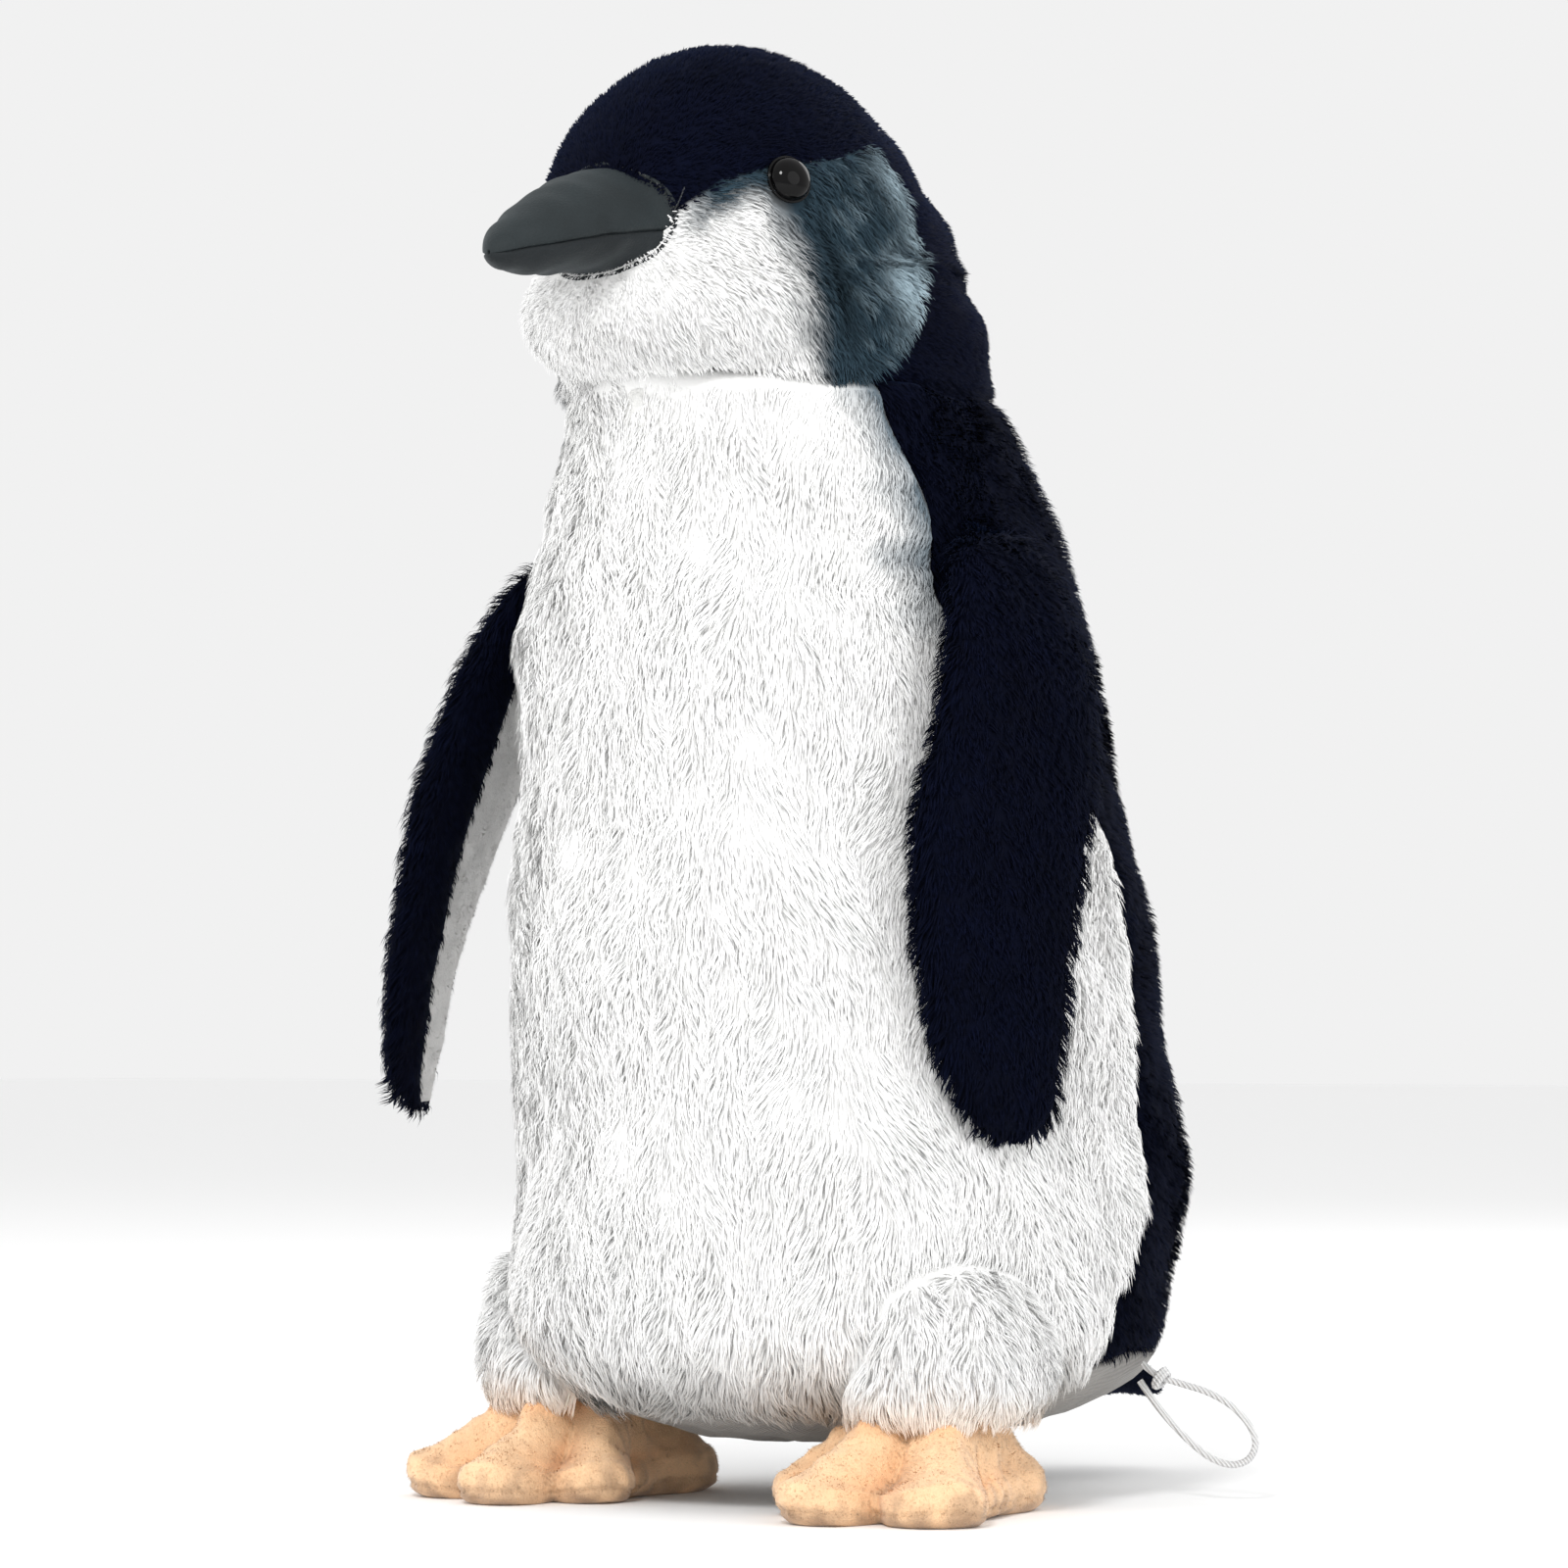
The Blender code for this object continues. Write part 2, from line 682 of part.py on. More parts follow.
def make_head_stuffing(parts):
    angles = along(0.0, 360.0, 27)[:-1]
    seam = neck_seam_up(angles)
    rings = []
    for rise in (0.0, 0.08, 0.18, 0.30, 0.43, 0.57, 0.71, 0.86):
        up = seam + (90.0 - seam) * rise
        crease = NECK_FILL_GAP * max(0.0, 1 - rise / 0.30)
        inset = SKIN + HEAD_FILL_GAP + crease
        rings.append(head_points(head_direction(angles, up), inset))
    rings[0][:, 2] = NECK_SEAM + NECK_GAP
    return closed_loft("head_stuffing", np.array(rings), "fibre_fill", parts)


def beak_section(forward, turns, inset=0.0):
    """The beak's outline at these turns, from forward 0 (in the face) to 1 (its tip)."""
    turn = np.radians(turns)
    scale = 1 - inset / BEAK_HALF_HEIGHT
    target = np.stack(
        [
            BEAK_HALF_WIDTH * scale * np.cos(turn),
            np.full(len(turn), BEAK_BASE[0]),
            BEAK_BASE[1] + BEAK_HALF_HEIGHT * scale * np.sin(turn),
        ],
        axis=-1,
    )
    ray = target - np.array(HEAD_CENTRE)
    base = head_points(ray / np.linalg.norm(ray, axis=-1)[:, None], 0.0008)
    centre_y = BEAK_BASE[0] + (BEAK_TIP.y - BEAK_BASE[0]) * forward
    centre_z = BEAK_BASE[1] + (BEAK_TIP.z + 0.0020 - BEAK_BASE[1]) * forward**1.7
    taper = (1 - forward**2.1) ** 0.60
    width = BEAK_HALF_WIDTH * taper * (1 - 0.22 * forward) - inset
    height = BEAK_HALF_HEIGHT * taper**0.85 - inset
    bulge = 1 + 0.22 * math.sin(math.pi * min(1.0, forward * 1.25)) * (np.sin(turn) > 0)
    ring = np.stack(
        [
            width * np.cos(turn),
            np.full(len(turn), centre_y),
            centre_z + height * np.sin(turn) * bulge,
        ],
        axis=-1,
    )
    blend = min(1.0, forward * 3.2)
    return base * (1 - blend) + ring * blend


def make_beak(parts):
    """Suede upper and lower bill over a stuffed core."""
    steps = (0.0, 0.10, 0.22, 0.36, 0.50, 0.64, 0.77, 0.87, 0.94)
    halves = (("beak_upper", -12.0, 192.0, 12), ("beak_lower", 197.0, 343.0, 9))
    for name, first, last, count in halves:
        turns = along(first, last, count)
        outer = np.array([beak_section(step, turns) for step in steps])
        inner = np.array([beak_section(step, turns, THIN_SKIN) for step in steps])
        half_shell(name, outer, inner, "charcoal_suede", parts)
    turns = along(0.0, 360.0, 19)[:-1]
    core = np.array([beak_section(step, turns, THIN_SKIN + 0.0012) for step in steps[:-2]])
    closed_loft("beak_stuffing", core, "fibre_fill", parts)


# Eyes.

def turned(name, profile, finish, collection, place, facing):
    """A solid of revolution from (radius, height) points, standing along facing."""
    mesh = bpy.data.meshes.new(name)
    points = [(radius, 0.0, height) for radius, height in profile]
    mesh.from_pydata(points, [(i, i + 1) for i in range(len(points) - 1)], [])
    if finish:
        mesh.materials.append(material(finish))
    obj = bpy.data.objects.new(name, mesh)
    collection.objects.link(obj)
    screw = obj.modifiers.new("turn", "SCREW")
    screw.steps = 16
    screw.render_steps = 16
    screw.use_merge_vertices = True
    screw.merge_threshold = 0.00001
    screw.use_smooth_shade = True
    obj.matrix_world = Matrix.Translation(place) @ facing.to_track_quat("Z", "Y").to_matrix().to_4x4()
    return obj


def eye_frame(side):
    """Place on the left cheek, mirrored for the right, and the way the eye looks."""
    ray = Vector(EYE_PLACE) - HEAD_CENTRE
    ray = np.array(ray.normalized())
    place = Vector(head_points(ray[None])[0])
    facing = outward(place)
    place.x *= side
    facing.x *= side
    return place, facing


def make_eyes(parts, skins, stuffing):
    for name, side in SIDES:
        place, facing = eye_frame(side)
        base = TOUCH_GAP
        dome = [
            (EYE_RADIUS * math.cos(t), base + EYE_RIM + EYE_DOME * math.sin(t))
            for t in np.linspace(math.pi / 2, 0.0, 6)
        ]
        dome[0] = (0.0, dome[0][1])
        rim = [(EYE_RADIUS, base + 0.0002), (SHANK_RADIUS, base + 0.0002)]
        shank = [(SHANK_RADIUS, -SHANK_LENGTH + 0.001), (SHANK_RADIUS * 0.6, -SHANK_LENGTH)]
        turned("eye_" + name, dome + rim + shank + [(0.0, -SHANK_LENGTH)], "black_eye", parts, place, facing)
        behind = place - facing * (SKIN + 0.0016)
        bore = SHANK_RADIUS + 0.0002
        washer = [
            (WASHER_RADIUS, 0.0), (WASHER_RADIUS, -WASHER_THICKNESS), (0.0040, -WASHER_THICKNESS),
            (0.0034, -0.0030), (bore, -0.0030), (bore, 0.0), (WASHER_RADIUS, 0.0),
        ]
        turned("eye_washer_" + name, washer, "washer_plastic", parts, behind, facing)
        hole = turned(
            "eye_hole_" + name,
            [(0.0, 0.006), (0.0024, 0.006), (0.0024, -0.006), (0.0, -0.006)],
            None, cutters(), place, facing,
        )
        pocket = turned(
            "washer_pocket_" + name,
            [(0.0, 0.004), (0.0078, 0.004), (0.0078, -0.0150), (0.0, -0.0150)],
            None, cutters(), place, facing,
        )
        for skin in skins:
            if skin.name.endswith(name) or skin.name == "head_crown":
                cut(skin, cutter_of(hole))
        cut(stuffing, cutter_of(pocket))


def make_head(parts):
    crown = make_crown(parts)
    faces = make_faces(parts)
    stuffing = make_head_stuffing(parts)
    make_beak(parts)
    make_eyes(parts, faces, stuffing)
    return crown


# Legs and feet.

def ring_at(centre, radius, height, count=20):
    turn = np.radians(along(0.0, 360.0, count + 1)[:-1])
    return np.stack(
        [
            centre[0] + radius * np.cos(turn),
            centre[1] + radius * np.sin(turn),
            np.full(count, height),
        ],
        axis=-1,
    )


def body_cutter():
    """The body's outer form with a touch of clearance, to cut the legs' tops."""
    angles = along(0.0, 360.0, 49)[:-1]
    rings = []
    for inward in (0.25, 0.55, 0.75, 0.88, 0.96):
        surface = base_ring(inward, angles)
        rings.append(surface + normals(surface) * LEG_CLEARANCE)
    for rise in (0.004, 0.010, 0.018, 0.030, 0.050):
        rings.append(body_points(angles, base_seam(angles) + rise, -LEG_CLEARANCE))
    return cutter_of(closed_loft("body_clearance", np.array(rings), None, cutters()))


def make_legs(parts):
    clearance = body_cutter()
    span = LEG_TOP - LEG_HEM
    profile = ((0.0, 0.97), (0.12, 1.04), (0.35, 1.09), (0.65, 1.04), (1.0, 0.90))
    fill_profile = ((0.20, 1.00), (0.35, 1.09), (0.65, 1.04), (0.94, 0.90))
    for name, side in SIDES:
        centre = (LEG_CENTRE.x * side, LEG_CENTRE.y)
        rings = [
            ring_at(centre, LEG_RADIUS * grow, LEG_HEM + span * up) for up, grow in profile
        ]
        middle = (centre[0], centre[1], LEG_HEM + span / 2)
        cuff = shell(
            "leg_cuff_" + name, np.array(rings), SKIN, "white_plush", parts, middle, wrap=True
        )
        cut(cuff, clearance)
        inset = SKIN + FILL_GAP
        rings = [
            ring_at(centre, LEG_RADIUS * grow - inset, LEG_HEM + span * up)
            for up, grow in fill_profile
        ]
        filling = closed_loft("leg_stuffing_" + name, np.array(rings), "fibre_fill", parts)
        cut(filling, clearance)
    make_feet(parts, clearance)


def lobe_reach(turn, way, distance, radius):
    """How far out a rounded lobe reaches: a bar from the foot's centre with a round end."""
    away = np.radians((turn - way + 180.0) % 360.0 - 180.0)
    on_bar = radius / np.maximum(np.abs(np.sin(away)), 1e-6)
    beside = (np.cos(away) > 0) & (on_bar * np.cos(away) <= distance)
    across = np.clip(radius**2 - (distance * np.sin(away)) ** 2, 0.0, None)
    end = distance * np.cos(away) + np.sqrt(across)
    met = np.abs(distance * np.sin(away)) <= radius
    return np.where(beside, on_bar, np.where(met & (np.cos(away) > 0), end, radius))


def foot_outline(turn, side):
    """Plan of the foot about its centre: a rounded heel and three splayed toes."""
    turn = np.asarray(turn)
    total = np.exp(np.full(turn.shape, FOOT_RADIUS) / LOBE_BLEND)
    for way, distance, radius in FOOT_LOBES:
        total = total + np.exp(lobe_reach(turn, way, distance, radius) / LOBE_BLEND)
    reach = LOBE_BLEND * np.log(total)
    x = reach * np.cos(np.radians(turn)) * side
    return np.stack([x, reach * np.sin(np.radians(turn))], axis=-1)


def foot_ring(side, turn, inward, height, inset=0.0):
    """A ring of the foot: inward 0 follows the toes, 1 follows the ankle."""
    outline = foot_outline(turn, side)
    length = np.linalg.norm(outline, axis=-1)[:, None]
    outline = outline * (1 - inset / length)
    outline = outline + np.array((FOOT_CENTRE.x * side, FOOT_CENTRE.y))
    ankle = np.stack(
        [np.cos(np.radians(turn)) * side, np.sin(np.radians(turn))], axis=-1
    ) * (ANKLE_RADIUS - inset)
    ankle = ankle + np.array((LEG_CENTRE.x * side, LEG_CENTRE.y))
    plan = outline * (1 - inward) + ankle * inward
    return np.hstack([plan, np.full((len(turn), 1), height)])


def make_feet(parts, clearance):
    turn = along(0.0, 360.0, 43)[:-1]
    upper_profile = (
        (-0.03, SOLE_SEAM + 0.0004), (-0.02, 0.0090), (0.06, 0.0140), (0.24, 0.0180),
        (0.52, 0.0220), (0.84, 0.0275), (1.0, ANKLE_HEIGHT),
    )
    fill_profile = (
        (0.06, THIN_SKIN + 0.0006), (0.0, 0.0080), (0.08, 0.0118), (0.26, 0.0150),
        (0.54, 0.0190), (0.86, 0.0250), (1.0, ANKLE_HEIGHT),
    )
    for name, side in SIDES:
        inside = (LEG_CENTRE.x * side, LEG_CENTRE.y, 0.010)
        rings = np.array([foot_ring(side, turn, inward, z) for inward, z in upper_profile])
        upper = shell(
            "foot_upper_" + name, rings, THIN_SKIN, "peach_velboa", parts, inside, wrap=True
        )
        cut(upper, clearance)
        make_sole(name, side, turn, parts)
        gap = THIN_SKIN + 0.0030
        rings = np.array([foot_ring(side, turn, inward, z, gap) for inward, z in fill_profile])
        cut(closed_loft("foot_stuffing_" + name, rings, "fibre_fill", parts), clearance)


def make_sole(name, side, turn, parts):
    """The sole: a flat bottom with a low turned-up wall."""
    wall = THIN_SKIN
    top = SOLE_SEAM - 0.0004
    rings = np.array(
        [
            foot_ring(side, turn, 0.0, wall, wall),
            foot_ring(side, turn, 0.0, top, wall),
            foot_ring(side, turn, -0.015, top),
            foot_ring(side, turn, 0.0, 0.0012),
            foot_ring(side, turn, 0.05, 0.0),
        ]
    )
    closed_loft("foot_sole_" + name, rings, "peach_velboa", parts)


# Flippers.

def flipper_frames():
    """Centre, chord direction, outward direction, half chord and half thickness."""
    frames = []
    for height, angle, chord, thick in FLIPPER_STATIONS:
        surface = Vector(body_points(np.array(angle), np.array(height)))
        normal = outward(surface)
        normal.z = 0.0
        normal.normalize()
        forward = Vector((normal.y, -normal.x, 0.0))
        centre = surface + normal * (thick + FLIPPER_CLEARANCE)
        frames.append((centre, forward, normal, chord, thick))
    return frames


def flipper_rings(turns, inset=0.0, skip=0):
    """Rings round the flipper; turn 0 is its rear edge, 90 outside, 180 its front edge."""
    turn = np.radians(turns)
    rings = []
    frames = flipper_frames()
    for centre, forward, normal, chord, thick in frames[skip : len(frames) - skip]:
        chord, thick = chord - inset, thick - inset
        rings.append(
            [
                centre - forward * chord * math.cos(t) + normal * thick * math.sin(t)
                for t in turn
            ]
        )
    return np.array(rings)


def hinge_place():
    surface = Vector(
        body_points(np.array(FLIPPER_HINGE_ANGLE), np.array(FLIPPER_HINGE_HEIGHT))
    )
    return surface + outward(surface) * FLIPPER_HINGE_OUT


def lifted(rings, side):
    """Left as it is; the right one is its mirror image, turned out about its hinge."""
    if side > 0:
        return rings
    hinge = hinge_place()
    axis = Vector(hinge_axis(1.0))
    turn = Matrix.Rotation(RIGHT_FLIPPER_LIFT, 4, axis)
    place = Matrix.Translation(hinge) @ turn @ Matrix.Translation(-hinge)
    moved = np.array([[place @ Vector(p) for p in ring] for ring in rings])
    return mirrored(moved, -1.0)


def hinge_axis(side):
    """Along the shoulder seam; a positive turn lifts the tip away from the body."""
    normal = outward(hinge_place())
    normal.z = 0.0
    normal.normalize()
    return (normal.y, -normal.x * side, 0.0)


def make_flippers(parts):
    panels = (("outer", 3.0, 250.0, 12, "navy_plush"), ("inner", 257.0, 357.0, 7, "white_velboa"))
    all_turns = along(0.0, 360.0, 17)[:-1]
    for name, side in SIDES:
        origin = hinge_place()
        origin.x *= side
        for part, first, last, count, finish in panels:
            turns = along(first, last, count)
            outer = lifted(flipper_rings(turns), side)
            inner = lifted(flipper_rings(turns, THIN_SKIN), side)
            half_shell(f"flipper_{part}_{name}", outer, inner, finish, parts, origin)
        core = lifted(flipper_rings(all_turns, THIN_SKIN + 0.0010, 1), side)
        closed_loft("flipper_stuffing_" + name, core, "fibre_fill", parts, origin)


# Tail.

def tail_section(forward, turns, inset=0.0):
    """A flat rounded wedge: forward 0 at its root on the back, 1 at its tip."""
    turn = np.radians(turns)
    rise = 1.35 * forward - 0.35 * forward**2.5
    z = TAIL_ROOT[1] + (TAIL_TIP[1] - TAIL_ROOT[1]) * rise
    taper = (1 - forward**3.2) ** 0.5
    width = TAIL_HALF_WIDTH * (0.92 + 0.10 * forward) * taper - inset
    thick = TAIL_HALF_THICKNESS * (1.15 - 0.35 * forward) * taper**0.5 - inset
    x = width * np.cos(turn)
    y = TAIL_ROOT[0] + (TAIL_TIP[0] - TAIL_ROOT[0]) * forward
    y = y - (1 - forward) * TAIL_ROOT_CURVE * x**2
    return np.stack([x, y, z + thick * np.sin(turn)], axis=-1)


def make_tail(parts):
    steps = (0.0, 0.2, 0.4, 0.6, 0.76, 0.88, 0.95, 0.985)
    for name, first, last in (("tail_upper", 3.0, 177.0), ("tail_under", 183.0, 357.0)):
        turns = along(first, last, 10)
        outer = np.array([tail_section(step, turns) for step in steps])
        inner = np.array([tail_section(step, turns, THIN_SKIN) for step in steps])
        half_shell(name, outer, inner, "navy_plush", parts, TAIL_HINGE)
    turns = along(0.0, 360.0, 17)[:-1]
    core = np.array([tail_section(step, turns, THIN_SKIN + 0.0009) for step in steps[:-2]])
    closed_loft("tail_stuffing", core, "fibre_fill", parts, TAIL_HINGE)


# Hang loop.

def smooth_route(stations, per_span):
    """Points on a smooth curve through the route's stations."""
    knots = np.linspace(0.0, 1.0, len(stations))
    table = np.column_stack([knots, np.array(stations)])
    return np.stack(smooth_table(table, np.linspace(0, 1, per_span * (len(stations) - 1) + 1)), -1)


def make_loop(parts):
    curve = bpy.data.curves.new("hang_loop", "CURVE")
    curve.dimensions = "3D"
    points = smooth_route(LOOP_ROUTE, 2)
    spline = curve.splines.new("POLY")
    spline.points.add(len(points) - 1)
    for target, point in zip(spline.points, points):
        target.co = (*point, 1.0)
    curve.bevel_depth = LOOP_DIAMETER / 2
    curve.bevel_resolution = 2
    curve.use_fill_caps = True
    curve.materials.append(material("white_cord"))
    parts.objects.link(bpy.data.objects.new("hang_loop", curve))


def centre_on_floor():
    for obj in bpy.data.objects:
        obj.location -= MIDDLE


def main():
    clear_scene()
    parts = new_collection("plush_penguin")
    new_collection("cutters")
    make_body(parts)
    make_head(parts)
    make_legs(parts)
    make_flippers(parts)
    make_tail(parts)
    make_loop(parts)
    centre_on_floor()


main()
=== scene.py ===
"""The looks of the plush penguin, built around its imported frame: sewn pile fabric, suede beak,
plastic eyes, velboa feet, flippers, tail and hang loop. Metres, +Z up, facing -Y."""

import math

import bpy
import numpy as np
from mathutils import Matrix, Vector
from mathutils.kdtree import KDTree


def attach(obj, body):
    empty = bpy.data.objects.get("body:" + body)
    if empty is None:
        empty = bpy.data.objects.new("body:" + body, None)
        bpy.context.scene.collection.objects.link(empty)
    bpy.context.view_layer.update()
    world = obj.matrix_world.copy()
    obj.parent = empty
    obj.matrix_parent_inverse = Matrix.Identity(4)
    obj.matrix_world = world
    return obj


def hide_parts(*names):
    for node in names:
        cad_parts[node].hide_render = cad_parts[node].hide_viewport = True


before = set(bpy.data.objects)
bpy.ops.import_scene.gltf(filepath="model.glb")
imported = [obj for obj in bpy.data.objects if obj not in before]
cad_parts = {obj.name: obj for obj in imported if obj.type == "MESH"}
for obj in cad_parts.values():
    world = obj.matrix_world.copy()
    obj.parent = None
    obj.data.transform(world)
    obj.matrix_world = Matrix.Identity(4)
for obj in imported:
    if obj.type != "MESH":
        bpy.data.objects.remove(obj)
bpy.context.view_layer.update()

# The body's axis in the row frame: shapes below are worked out about X = 0 and moved by this.
AXIS = np.array((0.01510, 0.00426, 0.0))

# Body sections: height, centre Y, half width, half depth.
BODY_SECTIONS = (
    (0.060, 0.003, 0.0865, 0.0935),
    (0.090, 0.005, 0.0880, 0.0955),
    (0.130, 0.001, 0.0862, 0.0938),
    (0.170, -0.005, 0.0822, 0.0892),
    (0.210, -0.011, 0.0776, 0.0843),
    (0.240, -0.0155, 0.0735, 0.0800),
    (0.266, -0.0165, 0.0676, 0.0735),
    (0.293, -0.023, 0.0594, 0.0645),
    (0.310, -0.029, 0.0560, 0.0605),
    (0.335, -0.034, 0.0500, 0.0550),
)
BODY_POWER = 2.12
BASE_HEIGHT = 0.016
BASE_ROUND = 0.044
BASE_POWER = 2.6
SKULL = (-0.049, 0.3430, 0.0470, 0.0600, 0.0545)
CHEEKS = (-0.042, 0.3210, 0.0530, 0.0675, 0.0240)
NAPE = (-0.030, 0.3310, 0.0430, 0.0530, 0.0500)
HEAD_CENTRE = np.array((0.0, -0.042, 0.335))
NECK_SEAM = 0.3035
HEAD_BLEND = 0.011
CREASE_BLEND = 0.003
NAPE_BLEND = 0.020
BEYOND = 0.25                            # further out than any skin is from its rays' origin
MARCH = np.linspace(0.010, 0.20, 39)     # steps outwards along a ray
DOWN = np.array((0.0, 0.0, -1.0))

# Edge between the navy back and the white belly: height, angle behind the side.
BACK_EDGE = (
    (0.030, 3.0),
    (0.060, 6.0),
    (0.080, 11.0),
    (0.110, 13.0),
    (0.155, 17.0),
    (0.195, 13.0),
    (0.220, -6.0),
    (0.245, -22.0),
    (0.270, -21.0),
    (0.290, -25.0),
    (0.310, -24.0),
)
# The navy cap's edge on the left cheek: angle from the left towards the back, angle up.
CAP_EDGE = (
    (-88.0, 4.0), (-74.0, 9.0), (-66.0, 10.3), (-61.0, 14.5), (-54.0, 19.5), (-43.0, 23.5),
    (-30.0, 28.0), (-12.0, 34.0), (3.0, 40.0), (13.0, 34.0), (20.0, 23.5), (21.0, 12.0),
    (16.5, 1.5), (8.0, -9.0), (3.0, -19.5), (-4.5, -26.5), (-14.0, -33.0), (-20.0, -45.0),
)
EAR_SEAM = (
    (-30.0, 28.0), (-31.0, 18.0), (-30.5, 9.0), (-26.0, -3.5), (-22.0, -17.0), (-18.0, -31.0),
)

FLOOR_SHADE = (0.97, 0.97, 0.97)
NAVY = np.array((0.0008, 0.0019, 0.0095))
WHITE = np.array((0.93, 0.93, 0.92))
CHEEK_GREY = np.array((0.026, 0.048, 0.066))
CHEEK_PALE = np.array((0.36, 0.47, 0.53))
BASE_GREY = np.array((0.30, 0.29, 0.275))
PEACH = np.array((0.90, 0.60, 0.36))
PEACH_BROWN = np.array((0.34, 0.22, 0.145))
PEACH_ORANGE = np.array((0.88, 0.42, 0.19))

DETAIL = 1.0


# The outer form.

def smooth_table(table, heights):
    """Columns of a table of (height, values...) at these heights, on smooth curves."""
    rows = np.array(table)
    knots = rows[:, 0]
    heights = np.clip(np.asarray(heights, float), knots[0], knots[-1])
    index = np.clip(np.searchsorted(knots, heights) - 1, 0, len(knots) - 2)
    step = knots[index + 1] - knots[index]
    t = (heights - knots[index]) / step
    columns = []
    for column in rows[:, 1:].T:
        slope = np.gradient(column, knots)
        columns.append(
            (2 * t**3 - 3 * t**2 + 1) * column[index]
            + (t**3 - 2 * t**2 + t) * step * slope[index]
            + (3 * t**2 - 2 * t**3) * column[index + 1]
            + (t**3 - t**2) * step * slope[index + 1]
        )
    return columns


def smooth_step(values, low, high):
    t = np.clip((values - low) / (high - low), 0.0, 1.0)
    return t * t * (3 - 2 * t)


def smooth_union(a, b, width):
    mix = np.clip(0.5 + 0.5 * (b - a) / width, 0.0, 1.0)
    return b + (a - b) * mix - width * mix * (1 - mix)


def body_field(points):
    x, y, z = points[..., 0], points[..., 1], points[..., 2]
    centre, width, depth = smooth_table(BODY_SECTIONS, z)
    down = np.clip((BASE_HEIGHT + BASE_ROUND - z) / BASE_ROUND, 0.0, 0.9999)
    shrink = (1 - down**BASE_POWER) ** (1 / BASE_POWER)
    norm = np.abs(x / width) ** BODY_POWER + np.abs((y - centre) / depth) ** BODY_POWER
    field = (norm ** (1 / BODY_POWER) - shrink) * width
    return np.maximum(field, np.maximum(z - BODY_SECTIONS[-1][0], BASE_HEIGHT - z))


def mass_field(points, mass):
    centre_y, centre_z, width, depth, height = mass
    scaled = (points - np.array((0.0, centre_y, centre_z))) / np.array((width, depth, height))
    return (np.linalg.norm(scaled, axis=-1) - 1) * width


def outer_field(points):
    """About the distance outside the body and head, in metres; negative inside."""
    head = smooth_union(mass_field(points, SKULL), mass_field(points, CHEEKS), HEAD_BLEND)
    head = smooth_union(head, mass_field(points, NAPE), HEAD_BLEND)
    width = CREASE_BLEND + (NAPE_BLEND - CREASE_BLEND) * smooth_step(points[..., 1], -0.060, 0.0)
    return smooth_union(body_field(points), head, width)


def cast(origins, directions):
    """Where rays from inside first leave the outer form."""
    far = np.full(directions.shape[:-1], BEYOND)
    for reach in MARCH[::-1]:
        far = np.where(outer_field(origins + directions * reach) > 0.0, reach, far)
    near = np.zeros(directions.shape[:-1])
    for reach in MARCH:
        near = np.where(reach < far - 1e-9, reach, near)
    for _ in range(15):
        middle = (near + far) / 2
        inside = outer_field(origins + directions * middle[..., None]) < 0.0
        near = np.where(inside, middle, near)
        far = np.where(inside, far, middle)
    return origins + directions * near[..., None]


def normals_of(points):
    step = 0.0005
    gradient = np.stack(
        [outer_field(points + step * axis) - outer_field(points - step * axis) for axis in np.eye(3)],
        axis=-1,
    )
    return unit(gradient)


def unit(vectors):
    return vectors / np.maximum(np.linalg.norm(vectors, axis=-1), 1e-12)[..., None]


def body_points(angles, heights):
    """Points of the outer form at these angles (degrees, 0 left, 90 back) and heights."""
    angles, heights = np.broadcast_arrays(np.radians(angles), heights)
    centre = smooth_table(BODY_SECTIONS, heights)[0]
    origins = np.stack([np.zeros_like(centre), centre, heights], axis=-1)
    directions = np.stack([np.cos(angles), np.sin(angles), np.zeros_like(angles)], axis=-1)
    return cast(origins, directions)


def head_points(angle, up):
    angle, up = np.radians(angle), np.radians(up)
    level = np.cos(up)
    directions = np.stack([level * np.cos(angle), level * np.sin(angle), np.sin(up)], axis=-1)
    return cast(np.broadcast_to(HEAD_CENTRE, directions.shape), directions)


def back_edge(heights):
    return smooth_table(BACK_EDGE, heights)[0]


def waves(points, length, seed, count=7):
    """A smooth wavy value from about -1 to 1 at these points, with this wavelength."""
    rng = np.random.default_rng(seed)
    total = np.zeros(points.shape[:-1])
    for _ in range(count):
        way = unit(rng.normal(size=3)) * (2 * math.pi / length) * rng.uniform(0.7, 1.4)
        total = total + np.sin(points @ way + rng.uniform(0, 2 * math.pi))
    return total / count**0.5


def swirl(points, length, seed):
    """Waves in all three directions, to ruffle the way that pile lies."""
    return np.stack([waves(points, length, seed + k) for k in range(3)], axis=-1)


def mirrored(points, side):
    """Points of the left side, put on the side wanted: 1 left, -1 right."""
    return points * np.array((side, 1.0, 1.0))


# Materials.

def new_material(name, roughness, sheen=0.0, sheen_tint=(1.0, 1.0, 1.0), sheen_roughness=0.4):
    """A Principled material; returns it with its node tree and its shader."""
    made = bpy.data.materials.new(name)
    made.use_nodes = True
    tree = made.node_tree
    shader = tree.nodes["Principled BSDF"]
    shader.inputs["Roughness"].default_value = roughness
    shader.inputs["Sheen Weight"].default_value = sheen
    shader.inputs["Sheen Roughness"].default_value = sheen_roughness
    shader.inputs["Sheen Tint"].default_value = (*sheen_tint, 1.0)
    return made, tree, shader


def noise(tree, scale, detail=3.0, coordinates="Object"):
    place = tree.nodes.new("ShaderNodeTexCoord")
    made = tree.nodes.new("ShaderNodeTexNoise")
    made.inputs["Scale"].default_value = scale
    made.inputs["Detail"].default_value = detail
    tree.links.new(place.outputs[coordinates], made.inputs["Vector"])
    return made.outputs["Fac"]


